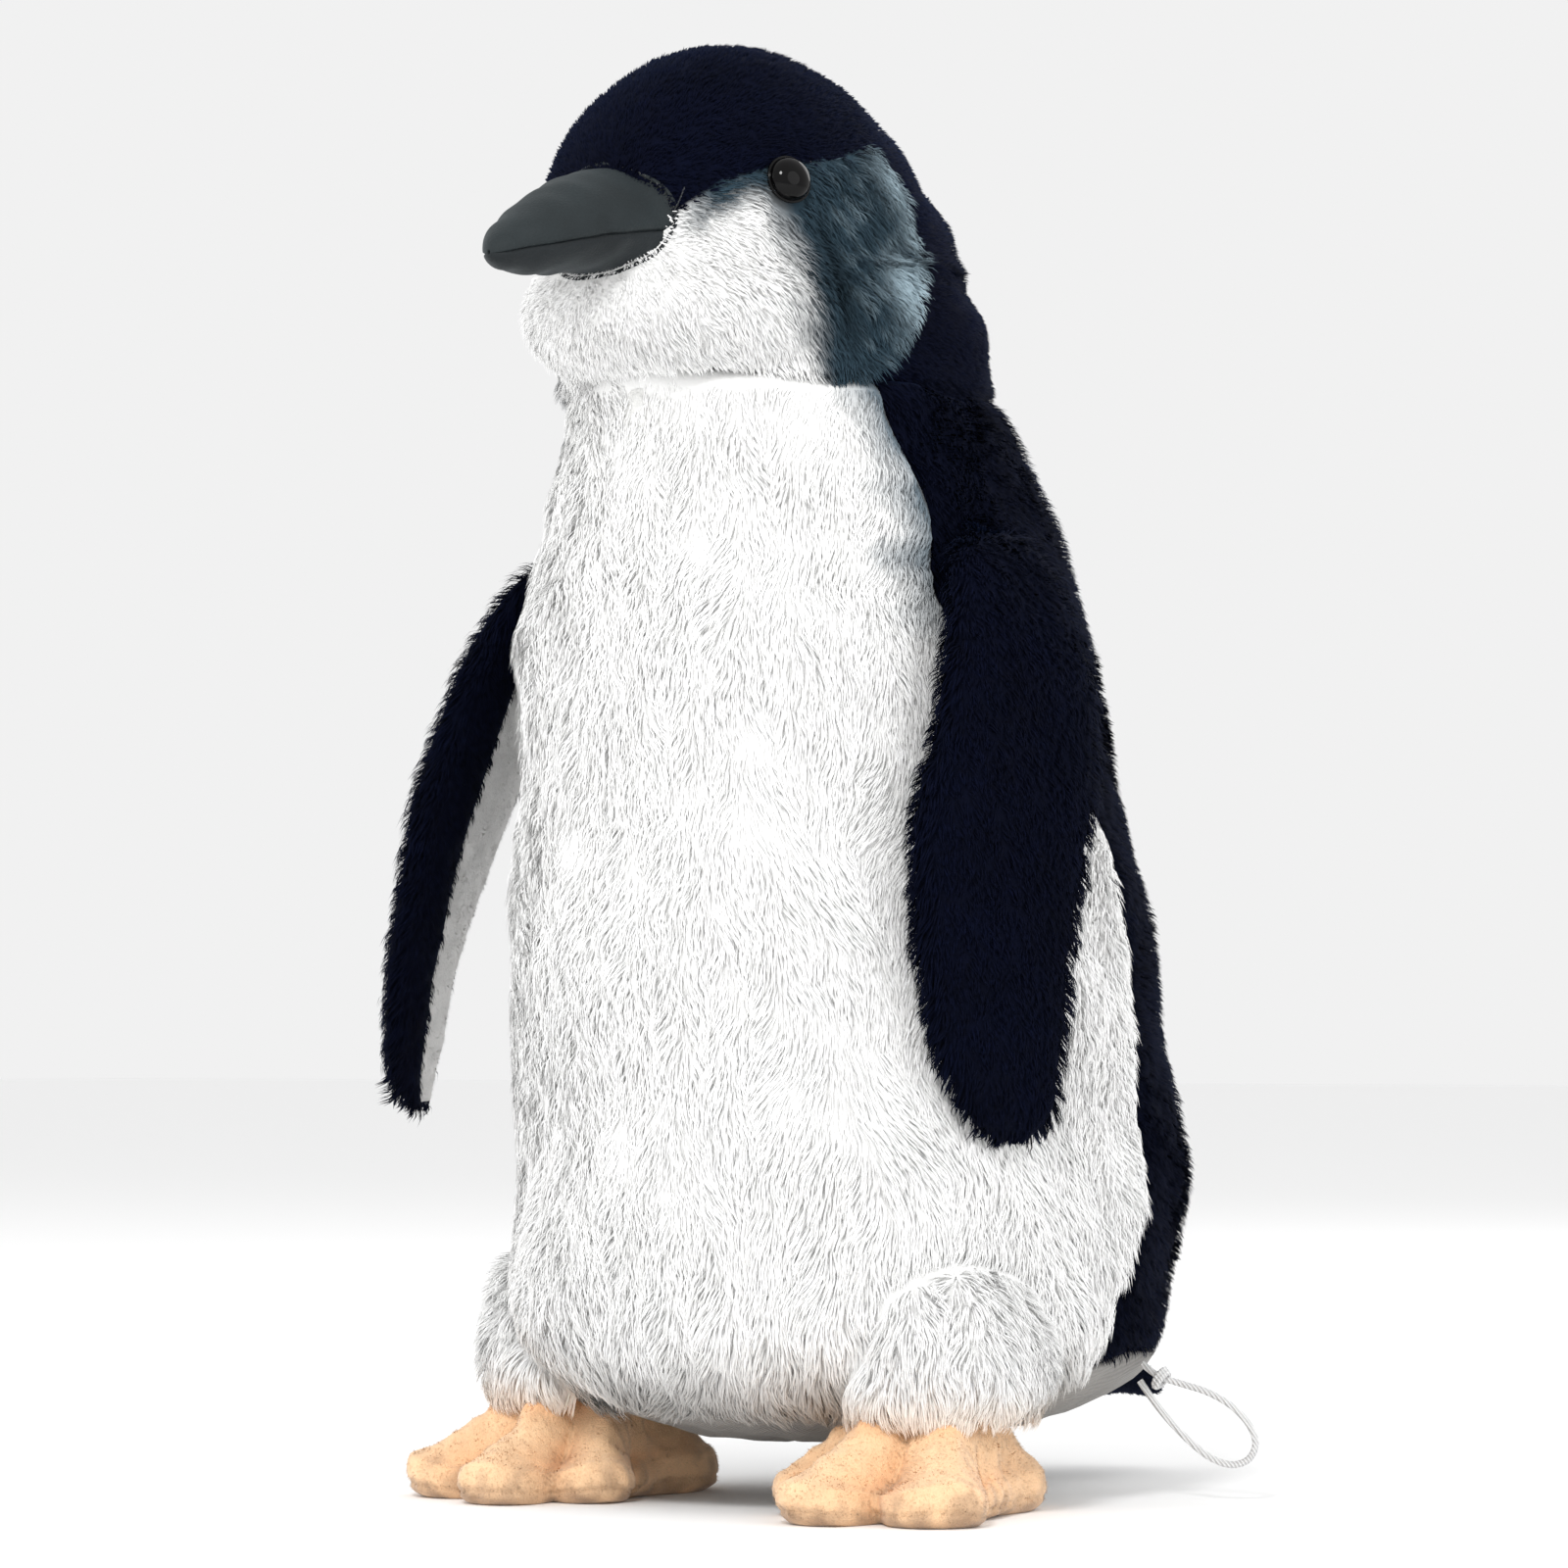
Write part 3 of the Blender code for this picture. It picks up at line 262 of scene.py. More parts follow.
def ranged(tree, value, low, high):
    made = tree.nodes.new("ShaderNodeMapRange")
    made.inputs["From Min"].default_value = 0.3
    made.inputs["From Max"].default_value = 0.7
    made.inputs["To Min"].default_value = low
    made.inputs["To Max"].default_value = high
    tree.links.new(value, made.inputs["Value"])
    return made.outputs["Result"]


def tinted(tree, shader, value):
    """Base colour: the piece's painted tint, made lighter and darker by value."""
    tint = tree.nodes.new("ShaderNodeAttribute")
    tint.attribute_name = "tint"
    scaled = tree.nodes.new("ShaderNodeVectorMath")
    scaled.operation = "SCALE"
    tree.links.new(tint.outputs["Color"], scaled.inputs[0])
    tree.links.new(value, scaled.inputs["Scale"])
    tree.links.new(scaled.outputs["Vector"], shader.inputs["Base Color"])


def bumped(tree, shader, value, distance, strength=1.0):
    """Fine relief, from value, on the shader's normal."""
    bump = tree.nodes.new("ShaderNodeBump")
    bump.inputs["Distance"].default_value = distance
    bump.inputs["Strength"].default_value = strength
    tree.links.new(value, bump.inputs["Height"])
    tree.links.new(bump.outputs["Normal"], shader.inputs["Normal"])


def mixed(tree, a, b, factor=0.5):
    made = tree.nodes.new("ShaderNodeMix")
    made.inputs["Factor"].default_value = factor
    tree.links.new(a, made.inputs["A"])
    tree.links.new(b, made.inputs["B"])
    return made.outputs["Result"]


def two_tone(tree, shader, value, colour, darker):
    """Base colour: between a darker shade of a colour and the colour, by value."""
    made = tree.nodes.new("ShaderNodeMix")
    made.data_type = "RGBA"
    made.inputs["A"].default_value = (*(np.array(colour) * darker), 1.0)
    made.inputs["B"].default_value = (*colour, 1.0)
    tree.links.new(value, made.inputs["Factor"])
    tree.links.new(made.outputs["Result"], shader.inputs["Base Color"])


def wave_bands(tree, scale, distortion):
    place = tree.nodes.new("ShaderNodeTexCoord")
    bands = tree.nodes.new("ShaderNodeTexWave")
    bands.inputs["Scale"].default_value = scale
    bands.inputs["Distortion"].default_value = distortion
    tree.links.new(place.outputs["Object"], bands.inputs["Vector"])
    return bands


def pile_material(name, roughness, sheen, sheen_tint, mottle):
    """Standing pile: soft, tinted per strand, mottled where strands lie differently."""
    made, tree, shader = new_material(name, roughness, sheen, sheen_tint)
    value = ranged(tree, mixed(tree, noise(tree, 60.0), noise(tree, 420.0)), 1.0 - mottle, 1.0 + mottle)
    tinted(tree, shader, value)
    shader.inputs["Specular IOR Level"].default_value = 0.08
    return made


def velboa_material(name, sheen):
    """Short brushed pile: fine nap, brushed patches."""
    made, tree, shader = new_material(name, 0.92, sheen, (1.0, 0.96, 0.92))
    nap = noise(tree, 1900.0, 2.0)
    patches = noise(tree, 140.0, 4.0)
    tinted(tree, shader, ranged(tree, mixed(tree, nap, patches, 0.55), 0.86, 1.12))
    bumped(tree, shader, mixed(tree, nap, patches, 0.35), 0.0006, 0.8)
    shader.inputs["Specular IOR Level"].default_value = 0.2
    return made


def suede_material():
    made, tree, shader = new_material("suede", 0.66, 0.06, (0.55, 0.68, 0.74), 0.5)
    grain = noise(tree, 1500.0, 4.0)
    patches = noise(tree, 90.0, 5.0)
    tinted(tree, shader, ranged(tree, mixed(tree, grain, patches, 0.6), 0.78, 1.25))
    bumped(tree, shader, mixed(tree, grain, patches, 0.4), 0.00035, 0.8)
    shader.inputs["Specular IOR Level"].default_value = 0.25
    return made


def tricot_material():
    """Fine warp knit: rows of tiny ribs."""
    made, tree, shader = new_material("tricot", 0.85, 0.15)
    ribs = wave_bands(tree, 260.0, 1.5)
    both = mixed(tree, ribs.outputs["Fac"], noise(tree, 700.0), 0.55)
    tinted(tree, shader, ranged(tree, both, 0.92, 1.07))
    bumped(tree, shader, both, 0.0004, 0.7)
    return made


def eye_material():
    made, tree, shader = new_material("eye_gloss", 0.035)
    dust = ranged(tree, noise(tree, 900.0, 4.0), 0.02, 0.06)
    tree.links.new(dust, shader.inputs["Roughness"])
    shader.inputs["Base Color"].default_value = (0.0015, 0.0014, 0.0016, 1.0)
    shader.inputs["Specular IOR Level"].default_value = 0.16
    return made


def thread_material(name, colour):
    """Twisted thread or cord: slanting plies."""
    made, tree, shader = new_material(name, 0.8, 0.3)
    twist = wave_bands(tree, 420.0, 0.8)
    twist.bands_direction = "DIAGONAL"
    two_tone(tree, shader, twist.outputs["Fac"], colour, 0.72)
    bumped(tree, shader, twist.outputs["Fac"], 0.0004, 0.9)
    return made


def inner_material(name, colour):
    """Loose fibre or cloth inside, which a cut or a gap would show."""
    made, tree, shader = new_material(name, 0.95, 0.2)
    fibres = noise(tree, 500.0, 6.0)
    two_tone(tree, shader, fibres, colour, 0.8)
    bumped(tree, shader, fibres, 0.001)
    return made


MATERIALS = {
    "white_pile": pile_material("white_pile", 0.95, 0.10, (1.0, 1.0, 1.0), 0.02),
    "navy_pile": pile_material("navy_pile", 0.90, 0.05, (0.10, 0.20, 0.60), 0.30),
    "grey_pile": pile_material("grey_pile", 0.95, 0.05, (0.8, 0.9, 1.0), 0.12),
    "peach_velboa": velboa_material("peach_velboa", 0.35),
    "white_velboa": velboa_material("white_velboa", 0.25),
    "suede": suede_material(),
    "tricot": tricot_material(),
    "eye": eye_material(),
    "thread_dark": thread_material("thread_dark", (0.012, 0.016, 0.020)),
    "thread_white": thread_material("thread_white", (0.86, 0.86, 0.86)),
    "fibre": inner_material("fibre", (0.85, 0.85, 0.83)),
    "pellets": inner_material("pellets", (0.55, 0.53, 0.48)),
    "washer": inner_material("washer", (0.72, 0.72, 0.70)),
}


# Making pieces.

def add_mesh(name, points, quads, tint, material, body, slot, closed_faces=()):
    """A piece of the object, from points about the body's axis; tint is a colour a point."""
    mesh = bpy.data.meshes.new(name)
    faces = [tuple(int(i) for i in face) for face in quads] + [tuple(face) for face in closed_faces]
    mesh.from_pydata((points + AXIS).tolist(), [], faces)
    mesh.shade_smooth()
    return finish_piece(name, mesh, tint, material, body, slot)


def finish_piece(name, mesh, tint, material, body, slot):
    colours = mesh.attributes.new("tint", "FLOAT_COLOR", "POINT")
    rgba = np.ones((len(mesh.vertices), 4), np.float32)
    rgba[:, :3] = tint
    colours.data.foreach_set("color", rgba.ravel())
    mesh.materials.append(MATERIALS[material])
    piece = bpy.data.objects.new(name, mesh)
    bpy.context.scene.collection.objects.link(piece)
    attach(piece, body)
    return piece


def grid_quads(rows, columns, wrap=False):
    across = columns if wrap else columns - 1
    row, column = np.meshgrid(np.arange(rows - 1), np.arange(across), indexing="ij")
    here, beside = row * columns + column, row * columns + (column + 1) % columns
    return np.stack([here, beside, beside + columns, here + columns], axis=-1).reshape(-1, 4)


def faces_out(points, quads, inside):
    """Turns quads over if they face the point called inside."""
    corner = points[quads[len(quads) // 2]]
    normal = np.cross(corner[1] - corner[0], corner[3] - corner[0])
    if normal @ (corner.mean(axis=0) - inside) < 0:
        return quads[:, ::-1]
    return quads


def thick(piece, amount):
    """Gives a sheet of fabric its thickness, inwards."""
    modifier = piece.modifiers.new("thickness", "SOLIDIFY")
    modifier.thickness = amount
    modifier.offset = -1.0


def cloth(name, points, quads, tint, wear, thickness, fill, *nodes):
    """A sewn panel over its filling. wear is its material, its body and its slot; the slot is not used."""
    piece = add_mesh(name, points, quads, tint, *wear)
    thick(piece, thickness)
    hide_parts(*nodes)


def cut_out(quads):
    """The points that these quads use, and the quads numbered by them."""
    used, index = np.unique(quads, return_inverse=True)
    return used, index.reshape(-1, 4)


def doubled_area(points, quads):
    """Twice each quad's area, as a vector square to it."""
    corner = points[quads]
    return np.cross(corner[:, 2] - corner[:, 0], corner[:, 3] - corner[:, 1])


def areas(points, quads):
    return np.linalg.norm(doubled_area(points, quads), axis=1) / 2


def strand_count(area, per_mm2):
    return int(area * 1e6 * per_mm2 * DETAIL)


def speckled(tint, count, amount, low, high, rng):
    """Colours a little lighter or darker from strand to strand."""
    return tint * (1 + amount * rng.normal(size=(count, 1))).clip(low, high)


def scatter(points, quads, count, rng, keep=1.0):
    """Places on a mesh of quads, spread by area: their points, quads and shares."""
    corner = points[quads]
    chance = areas(points, quads) * keep
    chosen = np.searchsorted(np.cumsum(chance) / chance.sum(), rng.random(count))
    chosen = np.minimum(chosen, len(quads) - 1)
    u, v = rng.random((2, count, 1))
    share = np.concatenate([(1 - u) * (1 - v), u * (1 - v), u * v, (1 - u) * v], axis=1)
    roots = np.einsum("nk,nkd->nd", share, corner[chosen])
    return roots, chosen, share


def gathered(roots, tips, spacing, amount, rng):
    """Pulls the tips of neighbouring strands together into tufts."""
    count = max(1, int(len(roots) / spacing))
    centres = rng.choice(len(roots), count, replace=False)
    tree = KDTree(count)
    for place, index in enumerate(centres):
        tree.insert(roots[index], place)
    tree.balance()
    nearest = np.array([tree.find(root)[1] for root in roots])
    leader = centres[nearest]
    return tips + (roots[leader] + tips[leader] - roots - tips) * amount[:, None]


def pile(name, roots, normals, comb, length, lift, width, tint, wear, rng,
         steps=2, tuft=9, clump=0.35, painted_root_shade=0.55):
    """Standing pile as narrow tapered strands. comb is the way the pile lies; lift from 0,
    flat, to 1, upright; tuft is how many strands lean together, and clump how far. The roots are painted
    darker than the tips, as shade deep in the pile."""
    count = len(roots)
    comb = unit(comb - normals * (comb * normals).sum(1)[:, None])
    sway = unit(rng.normal(size=(count, 3))) * 0.16
    lift = np.broadcast_to(np.asarray(lift, float), (count,))
    rise = unit(normals * lift[:, None] + comb * (1 - lift)[:, None] + sway)
    length = np.broadcast_to(np.asarray(length, float), (count,)) * rng.uniform(0.72, 1.12, count)
    tips = rise * length[:, None]
    tips = gathered(roots, tips, tuft, np.full(count, clump) * rng.uniform(0.4, 1.0, count), rng)
    over = np.clip(-(tips * normals).sum(1) + 0.25 * length * np.maximum(lift, 0.15), 0, None)
    tips = tips + normals * over[:, None]
    side = unit(np.cross(tips, normals))
    roll = rng.uniform(-0.3, 0.3, count)[:, None]
    across = unit(side * np.cos(roll) + np.cross(side, unit(tips)) * np.sin(roll))
    width = np.broadcast_to(np.asarray(width, float), (count,)) * rng.uniform(0.7, 1.3, count)
    levels = np.linspace(0.0, 1.0, steps + 1)
    points, shades, custom = [], [], []
    for level in levels:
        bend = tips * level + normals * (length * 0.16 * math.sin(math.pi * level))[:, None]
        middle = roots + bend - normals * 0.0004 * (1 - level)
        half = (width * 0.5 * (1 - level**1.6))[:, None]
        # Painted shade: each strand darker towards its root.
        shade = painted_root_shade + (1 - painted_root_shade) * min(1.0, level * 1.6)
        colour = tint * shade
        soft = unit(normals + unit(tips) * 0.12)
        if level < 1.0:
            points += [middle - across * half, middle + across * half]
            shades += [colour, colour]
            custom += [unit(soft - across * 0.22), unit(soft + across * 0.22)]
        else:
            points.append(middle)
            shades.append(colour)
            custom.append(soft)
    each = len(points)
    points, shades, custom = (np.stack(part, axis=1).reshape(-1, 3) for part in (points, shades, custom))
    strand_mesh(name, points, shades, custom, count, each, steps, normals, wear)


def strand_mesh(name, points, shades, custom, count, each, steps, normals, wear):
    """Builds strands of quads with a pointed end, with their normals and a UV cell each."""
    quads = [(2 * s, 2 * s + 1, 2 * s + 3, 2 * s + 2) for s in range(steps - 1)]
    pattern = [index for quad in quads for index in quad]
    pattern += [2 * steps - 2, 2 * steps - 1, 2 * steps]
    sizes = [4] * (steps - 1) + [3]
    loops = (np.arange(count)[:, None] * each + np.array(pattern)[None]).astype(np.int32)
    first = points[loops[:, 0]]
    facing = np.cross(points[loops[:, 1]] - first, points[loops[:, 2]] - first)
    flipped = (facing * normals).sum(1) < 0
    turned = []
    start = 0
    for size in sizes:
        turned += list(range(start, start + size))[::-1]
        start += size
    loops[flipped] = loops[flipped][:, turned]
    mesh = bpy.data.meshes.new(name)
    mesh.vertices.add(len(points))
    mesh.vertices.foreach_set("co", (points + AXIS).astype(np.float32).ravel())
    mesh.loops.add(loops.size)
    mesh.loops.foreach_set("vertex_index", loops.ravel())
    mesh.polygons.add(count * len(sizes))
    starts = np.concatenate([[0], np.cumsum(sizes)[:-1]])
    loop_start = (np.arange(count)[:, None] * len(pattern) + starts[None]).astype(np.int32)
    mesh.polygons.foreach_set("loop_start", loop_start.ravel())
    mesh.update(calc_edges=True)
    mesh.shade_smooth()
    strand_uvs(mesh, loops, count, each, steps)
    finish_piece(name, mesh, shades, *wear)
    mesh.normals_split_custom_set_from_vertices(custom.astype(np.float32))


def strand_uvs(mesh, loops, count, each, steps):
    """Gives each strand its own small cell of the UV map."""
    cells = int(math.ceil(math.sqrt(count)))
    level = np.repeat(np.arange(steps + 1), 2)[:each] / steps
    side = np.tile([0.2, 0.8], steps + 1)[:each]
    side[-1] = 0.5
    strand = np.repeat(np.arange(count), loops.shape[1])
    within = loops.ravel() - strand * each
    u = (strand % cells + side[within]) / cells
    v = (strand // cells + 0.1 + 0.8 * level[within]) / cells
    layer = mesh.uv_layers.new(name="OFBake")
    layer.data.foreach_set("uv", np.stack([u, v], axis=-1).astype(np.float32).ravel())


# Camera and cord.

CAMERA_AZIMUTH = math.radians(38.0)
CAMERA_PITCH = math.radians(92.6)
CAMERA_DISTANCE = 1.6
CAMERA_HEIGHT = 0.125
CAMERA_ASIDE = 0.01557
CAMERA_LENS = 131.7


def make_camera():
    """A nearly level view from the penguin's front left, a little below its middle."""
    data = bpy.data.cameras.new("camera")
    data.sensor_width = 36.0
    data.lens = CAMERA_LENS
    camera = bpy.data.objects.new("camera", data)
    right = Vector((math.cos(CAMERA_AZIMUTH), math.sin(CAMERA_AZIMUTH), 0.0))
    ahead = Vector((-math.sin(CAMERA_AZIMUTH), math.cos(CAMERA_AZIMUTH), 0.0))
    middle = Vector(AXIS) - right * CAMERA_ASIDE
    camera.location = middle - ahead * CAMERA_DISTANCE + Vector((0.0, 0.0, CAMERA_HEIGHT))
    camera.rotation_euler = (CAMERA_PITCH, 0.0, CAMERA_AZIMUTH)
    bpy.context.scene.collection.objects.link(camera)
    bpy.context.scene.camera = camera


LOOP_DIAMETER = 0.0019
LOOP_ROUTE = (
    (0.0745, 0.0395, 0.0372),
    (0.0790, 0.0413, 0.0338),
    (0.0850, 0.0437, 0.0318),
    (0.0915, 0.0463, 0.0297),
    (0.0975, 0.0487, 0.0262),
    (0.1022, 0.0505, 0.0212),
    (0.1040, 0.0512, 0.0160),
    (0.1022, 0.0504, 0.0116),
    (0.0978, 0.0486, 0.0100),
    (0.0925, 0.0464, 0.0118),
    (0.0872, 0.0443, 0.0160),
    (0.0820, 0.0423, 0.0214),
    (0.0775, 0.0405, 0.0272),
    (0.0740, 0.0391, 0.0325),
)


def smooth_route(stations, per_span):
    knots = np.linspace(0.0, 1.0, len(stations))
    table = np.column_stack([knots, np.array(stations)])
    return np.stack(smooth_table(table, np.linspace(0, 1, per_span * (len(stations) - 1) + 1)), -1)


def tube(name, points, radius, material, sides):
    """A round thread on the body, along points about its axis, as a curve."""
    curve = bpy.data.curves.new(name, "CURVE")
    curve.dimensions = "3D"
    spline = curve.splines.new("POLY")
    spline.points.add(len(points) - 1)
    for target, point in zip(spline.points, points + AXIS):
        target.co = (*point, 1.0)
    curve.bevel_depth = radius
    curve.bevel_resolution = max(1, sides // 4)
    curve.use_fill_caps = True
    curve.materials.append(MATERIALS[material])
    piece = bpy.data.objects.new(name, curve)
    bpy.context.scene.collection.objects.link(piece)
    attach(piece, "body")
    return piece


def make_loop():
    """The white hang loop out of the rear seam, with the knot at its root."""
    points = smooth_route(LOOP_ROUTE, 6)
    loop = tube("hang_loop_cord", points, LOOP_DIAMETER / 2, "thread_white", 16)
    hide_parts("hang_loop")
    knot_at = np.array(LOOP_ROUTE[1])
    turn = np.linspace(0, 2 * math.pi * 1.6, 22)
    ring = np.stack([0.0018 * 0.9 * np.sin(turn), 0.0021 * np.cos(turn), 0.0022 * np.sin(turn)], axis=-1)
    ring = ring + knot_at + np.array((0.0012, 0.0, -0.0016)) * (turn / turn[-1])[:, None]
    tube("hang_loop_knot", ring, 0.00085, "thread_white", 10)


# Body skins and their pile.

BODY_ARC = math.radians(0.086)           # metres round the body for each degree
HEAD_ARC = math.radians(0.055)           # and round the head


def belly_low_grey(points):
    """How strongly the airbrushed grey covers the low edge of the belly, 0 to 1."""
    z = points[..., 2] + 0.004 * waves(points, 0.03, 5)
    return 1 - smooth_step(z, 0.024, 0.052)


def body_tint(points, angles, white):
    """Colours of the body's pile by place: navy, or white greyed at the base and the neck."""
    if not white:
        return np.broadcast_to(NAVY, points.shape)
    z = points[..., 2]
    low = belly_low_grey(points)[..., None] * 0.85
    tint = WHITE * (1 - low) + BASE_GREY * low
    folded = np.where(np.abs(angles) <= 90, angles, np.sign(angles) * 180 - angles)
    inside = (back_edge(z) - folded) / 20.0
    near = np.clip(1.15 - inside * 1.5 + 0.25 * waves(points, 0.02, 9), 0, 1)
    high = smooth_step(z, 0.215, 0.265)
    grey = (near * high * 0.9)[..., None]
    return tint * (1 - grey) + CHEEK_GREY * 2.0 * grey


def front_angles(angles):
    """Folds angles so that both sides read like the left: 0 the side, -90 the front."""
    wrapped = (angles + 180.0) % 360.0 - 180.0
    behind = np.where(wrapped > 0, 180 - wrapped, -180 - wrapped)
    return np.where(np.abs(wrapped) <= 90, wrapped, behind)


def dented(points, normals, angles):
    """Soft dents, belly darts and the sag of the filled fabric."""
    z = points[..., 2]
    depth = 0.0011 * waves(points, 0.055, 21) + 0.0005 * waves(points, 0.018, 22)
    folded = front_angles(angles)
    for dart_angle, lean, low, high in ((-66.0, 320.0, 0.026, 0.060), (-18.0, -220.0, 0.026, 0.054)):
        away = (folded - dart_angle - (z - low) * lean) * BODY_ARC
        reach = smooth_step(z, high, low)
        depth = depth - 0.0030 * reach * np.exp(-((away / 0.0022) ** 2))
    edge = (folded - back_edge(z)) * BODY_ARC
    depth = depth - 0.0016 * np.exp(-((edge / 0.0030) ** 2))
    return points + normals * depth[..., None]


def base_seam(angles):
    """Height of the seam between the body and the base panel, higher at the back."""
    behind = 0.5 + 0.5 * np.sin(np.radians(angles))
    return 0.026 + 0.014 * smooth_step(behind, 0.15, 0.7)


def body_skin(name, first, last, columns, white, wear, node):
    """A body panel between two edges, given as angles by height."""
    rows = 84
    across = np.linspace(0, 1, columns)[None, :]
    down = np.linspace(0, 1, rows)[:, None]
    angles = first(0.15) + (last(0.15) - first(0.15)) * across
    for _ in range(4):
        bottom = base_seam(angles) + 0.0004
        heights = NECK_SEAM - 0.0004 + (bottom - NECK_SEAM + 0.0004) * down
        angles = first(heights) + (last(heights) - first(heights)) * across
    points = body_points(angles, heights)
    tucked = 0.0012 + 0.0028 * smooth_step(points[..., 2], NECK_SEAM - 0.004, NECK_SEAM)
    points = dented(points, normals_of(points), angles) - normals_of(points) * tucked[..., None]
    flat = points.reshape(-1, 3)
    # The cloth is painted darker than its pile, as shade deep in the pile.
    tint = body_tint(flat, front_angles(angles).ravel(), white) * (0.94 if white else 0.8)
    quads = faces_out(flat, grid_quads(rows, columns), np.array((0.0, 0.0, 0.15)))
    cloth(name, flat, quads, tint, wear, 0.0016, 0.8, node)
    return flat, quads


def body_pile(name, flat, quads, white, wear, rng, per_mm2, length):
    """Pile combed down the body, tufted where it's long."""
    count = strand_count(areas(flat, quads).sum(), per_mm2)
    roots = scatter(flat, quads, count, rng)[0]
    normals = normals_of(roots)
    centre = smooth_table(BODY_SECTIONS, roots[:, 2])[0]
    angles = front_angles(np.degrees(np.arctan2(roots[:, 1] - centre, roots[:, 0])))
    around = unit(np.cross(normals, DOWN))
    comb = DOWN + around * (0.35 * waves(roots, 0.050, 31) + 0.30 * waves(roots, 0.012, 32))[:, None]
    tint = speckled(body_tint(roots, angles, white), count, 0.07, 0.7, 1.3, rng)
    lift = 0.34 + 0.08 * waves(roots, 0.02, 33)
    if white:
        grow = 1 + 0.25 * (1 - smooth_step(roots[:, 2], 0.03, 0.12))
        neck = 1 - 0.40 * smooth_step(roots[:, 2], 0.270, 0.300)
        pile(name, roots, normals, comb, length * grow * neck, lift - 0.16, 0.00064,
             np.clip(tint, 0, 0.96), wear, rng, tuft=12, clump=0.34, painted_root_shade=0.99)
    else:
        pile(name, roots, normals, comb, length, lift + 0.1, 0.00064, tint, wear, rng)


def make_body(rng):
    white_wear = ("white_pile", "body", "white_plush")
    navy_wear = ("navy_pile", "body", "navy_plush")
    flat, quads = body_skin("belly_cloth", lambda z: -180.0 - back_edge(z), back_edge, 130,
                            True, white_wear, "belly_panel")
    middle = flat[quads].mean(axis=1)
    left, high = middle[:, 0] >= 0, middle[:, 2] > 0.150
    for part, chosen in (
        ("high_left", high & left),
        ("high_right", high & ~left),
        ("low_left", ~high & left),
        ("low_right", ~high & ~left),
    ):
        body_pile("belly_pile_" + part, flat, quads[chosen], True, white_wear, rng, 1.45, 0.0070)
    for name, first, last in (
        ("left", lambda z: back_edge(z) + 0.1, lambda z: 90.0 + 0 * z),
        ("right", lambda z: 90.0 + 0 * z, lambda z: 180.0 - back_edge(z) - 0.1),
    ):
        flat, quads = body_skin("back_cloth_" + name, first, last, 46, False, navy_wear, "back_panel_" + name)
        body_pile("back_pile_" + name, flat, quads, False, navy_wear, rng, 1.15, 0.0038)
    make_gusset()


def make_gusset():
    """The smooth grey base panel."""
    around, rings = 120, 26
    angles = np.linspace(0, 360, around, endpoint=False)
    seam = body_points(angles, base_seam(angles) - 0.0003)
    middle = np.array((0.0, 0.0, 0.06))
    rows = []
    for inward in np.linspace(0.04, 1.0, rings) ** 0.8:
        ray = unit(seam - middle) * inward + DOWN * (1 - inward)
        rows.append(cast(np.broadcast_to(middle, seam.shape), unit(ray)))
    points = np.array(rows)
    normals = normals_of(points)
    depth = 0.0009 * waves(points, 0.045, 41) + 0.0004 * waves(points, 0.014, 42)
    points = points + normals * depth[..., None] - normals * 0.0006
    flat = points.reshape(-1, 3)
    tint = np.broadcast_to(BASE_GREY * 0.85, flat.shape) * (1 + 0.05 * waves(flat, 0.03, 43))[:, None]
    quads = grid_quads(rings, around, wrap=True)
    cap = tuple(range(around))
    if np.cross(*(flat[quads[0]][[1, 3]] - flat[quads[0]][0]))[2] > 0:
        quads = quads[:, ::-1]
    else:
        cap = cap[::-1]
    piece = add_mesh("base_cloth", flat, quads, tint, "tricot", "body", "grey_tricot", (cap,))
    thick(piece, 0.0014)
    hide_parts("base_gusset")


# Head skins and their pile.

EYE_SEAT = np.array((0.0409, -0.0764, 0.3526))      # the middle of the left eye's hollow
BEAK_MIDDLE = np.array((0.0, -0.105, 0.342))        # the face's pile lies away from here


def edge_at(edge, ups):
    """Angle, at these heights, of a line through stations of (angle, up)."""
    rows = np.array(edge)
    order = np.argsort(rows[:, 1])
    return np.interp(ups, rows[order, 1], rows[order, 0])


def from_eye(points):
    """Distance of points on either side from the eye's hollow."""
    return np.linalg.norm(np.abs(points * (1, 0, 0)) + points * (0, 1, 1) - EYE_SEAT, axis=-1)


def hump(values, middle, width):
    """1 at the middle, fading to 0 on both sides."""
    return np.exp(-(((values - middle) / width) ** 2))


def inside_polygon(x, y, polygon):
    found = np.zeros(x.shape, bool)
    last = polygon[-1]
    for corner in polygon:
        crosses = (corner[1] > y) != (last[1] > y)
        slope = (last[0] - corner[0]) * (y - corner[1]) / (last[1] - corner[1] + 1e-12) + corner[0]
        found ^= crosses & (x < slope)
        last = corner
    return found


FACE_OUTLINE = CAP_EDGE + ((-30.0, -80.0), (-92.0, -80.0), (-92.0, 4.0))


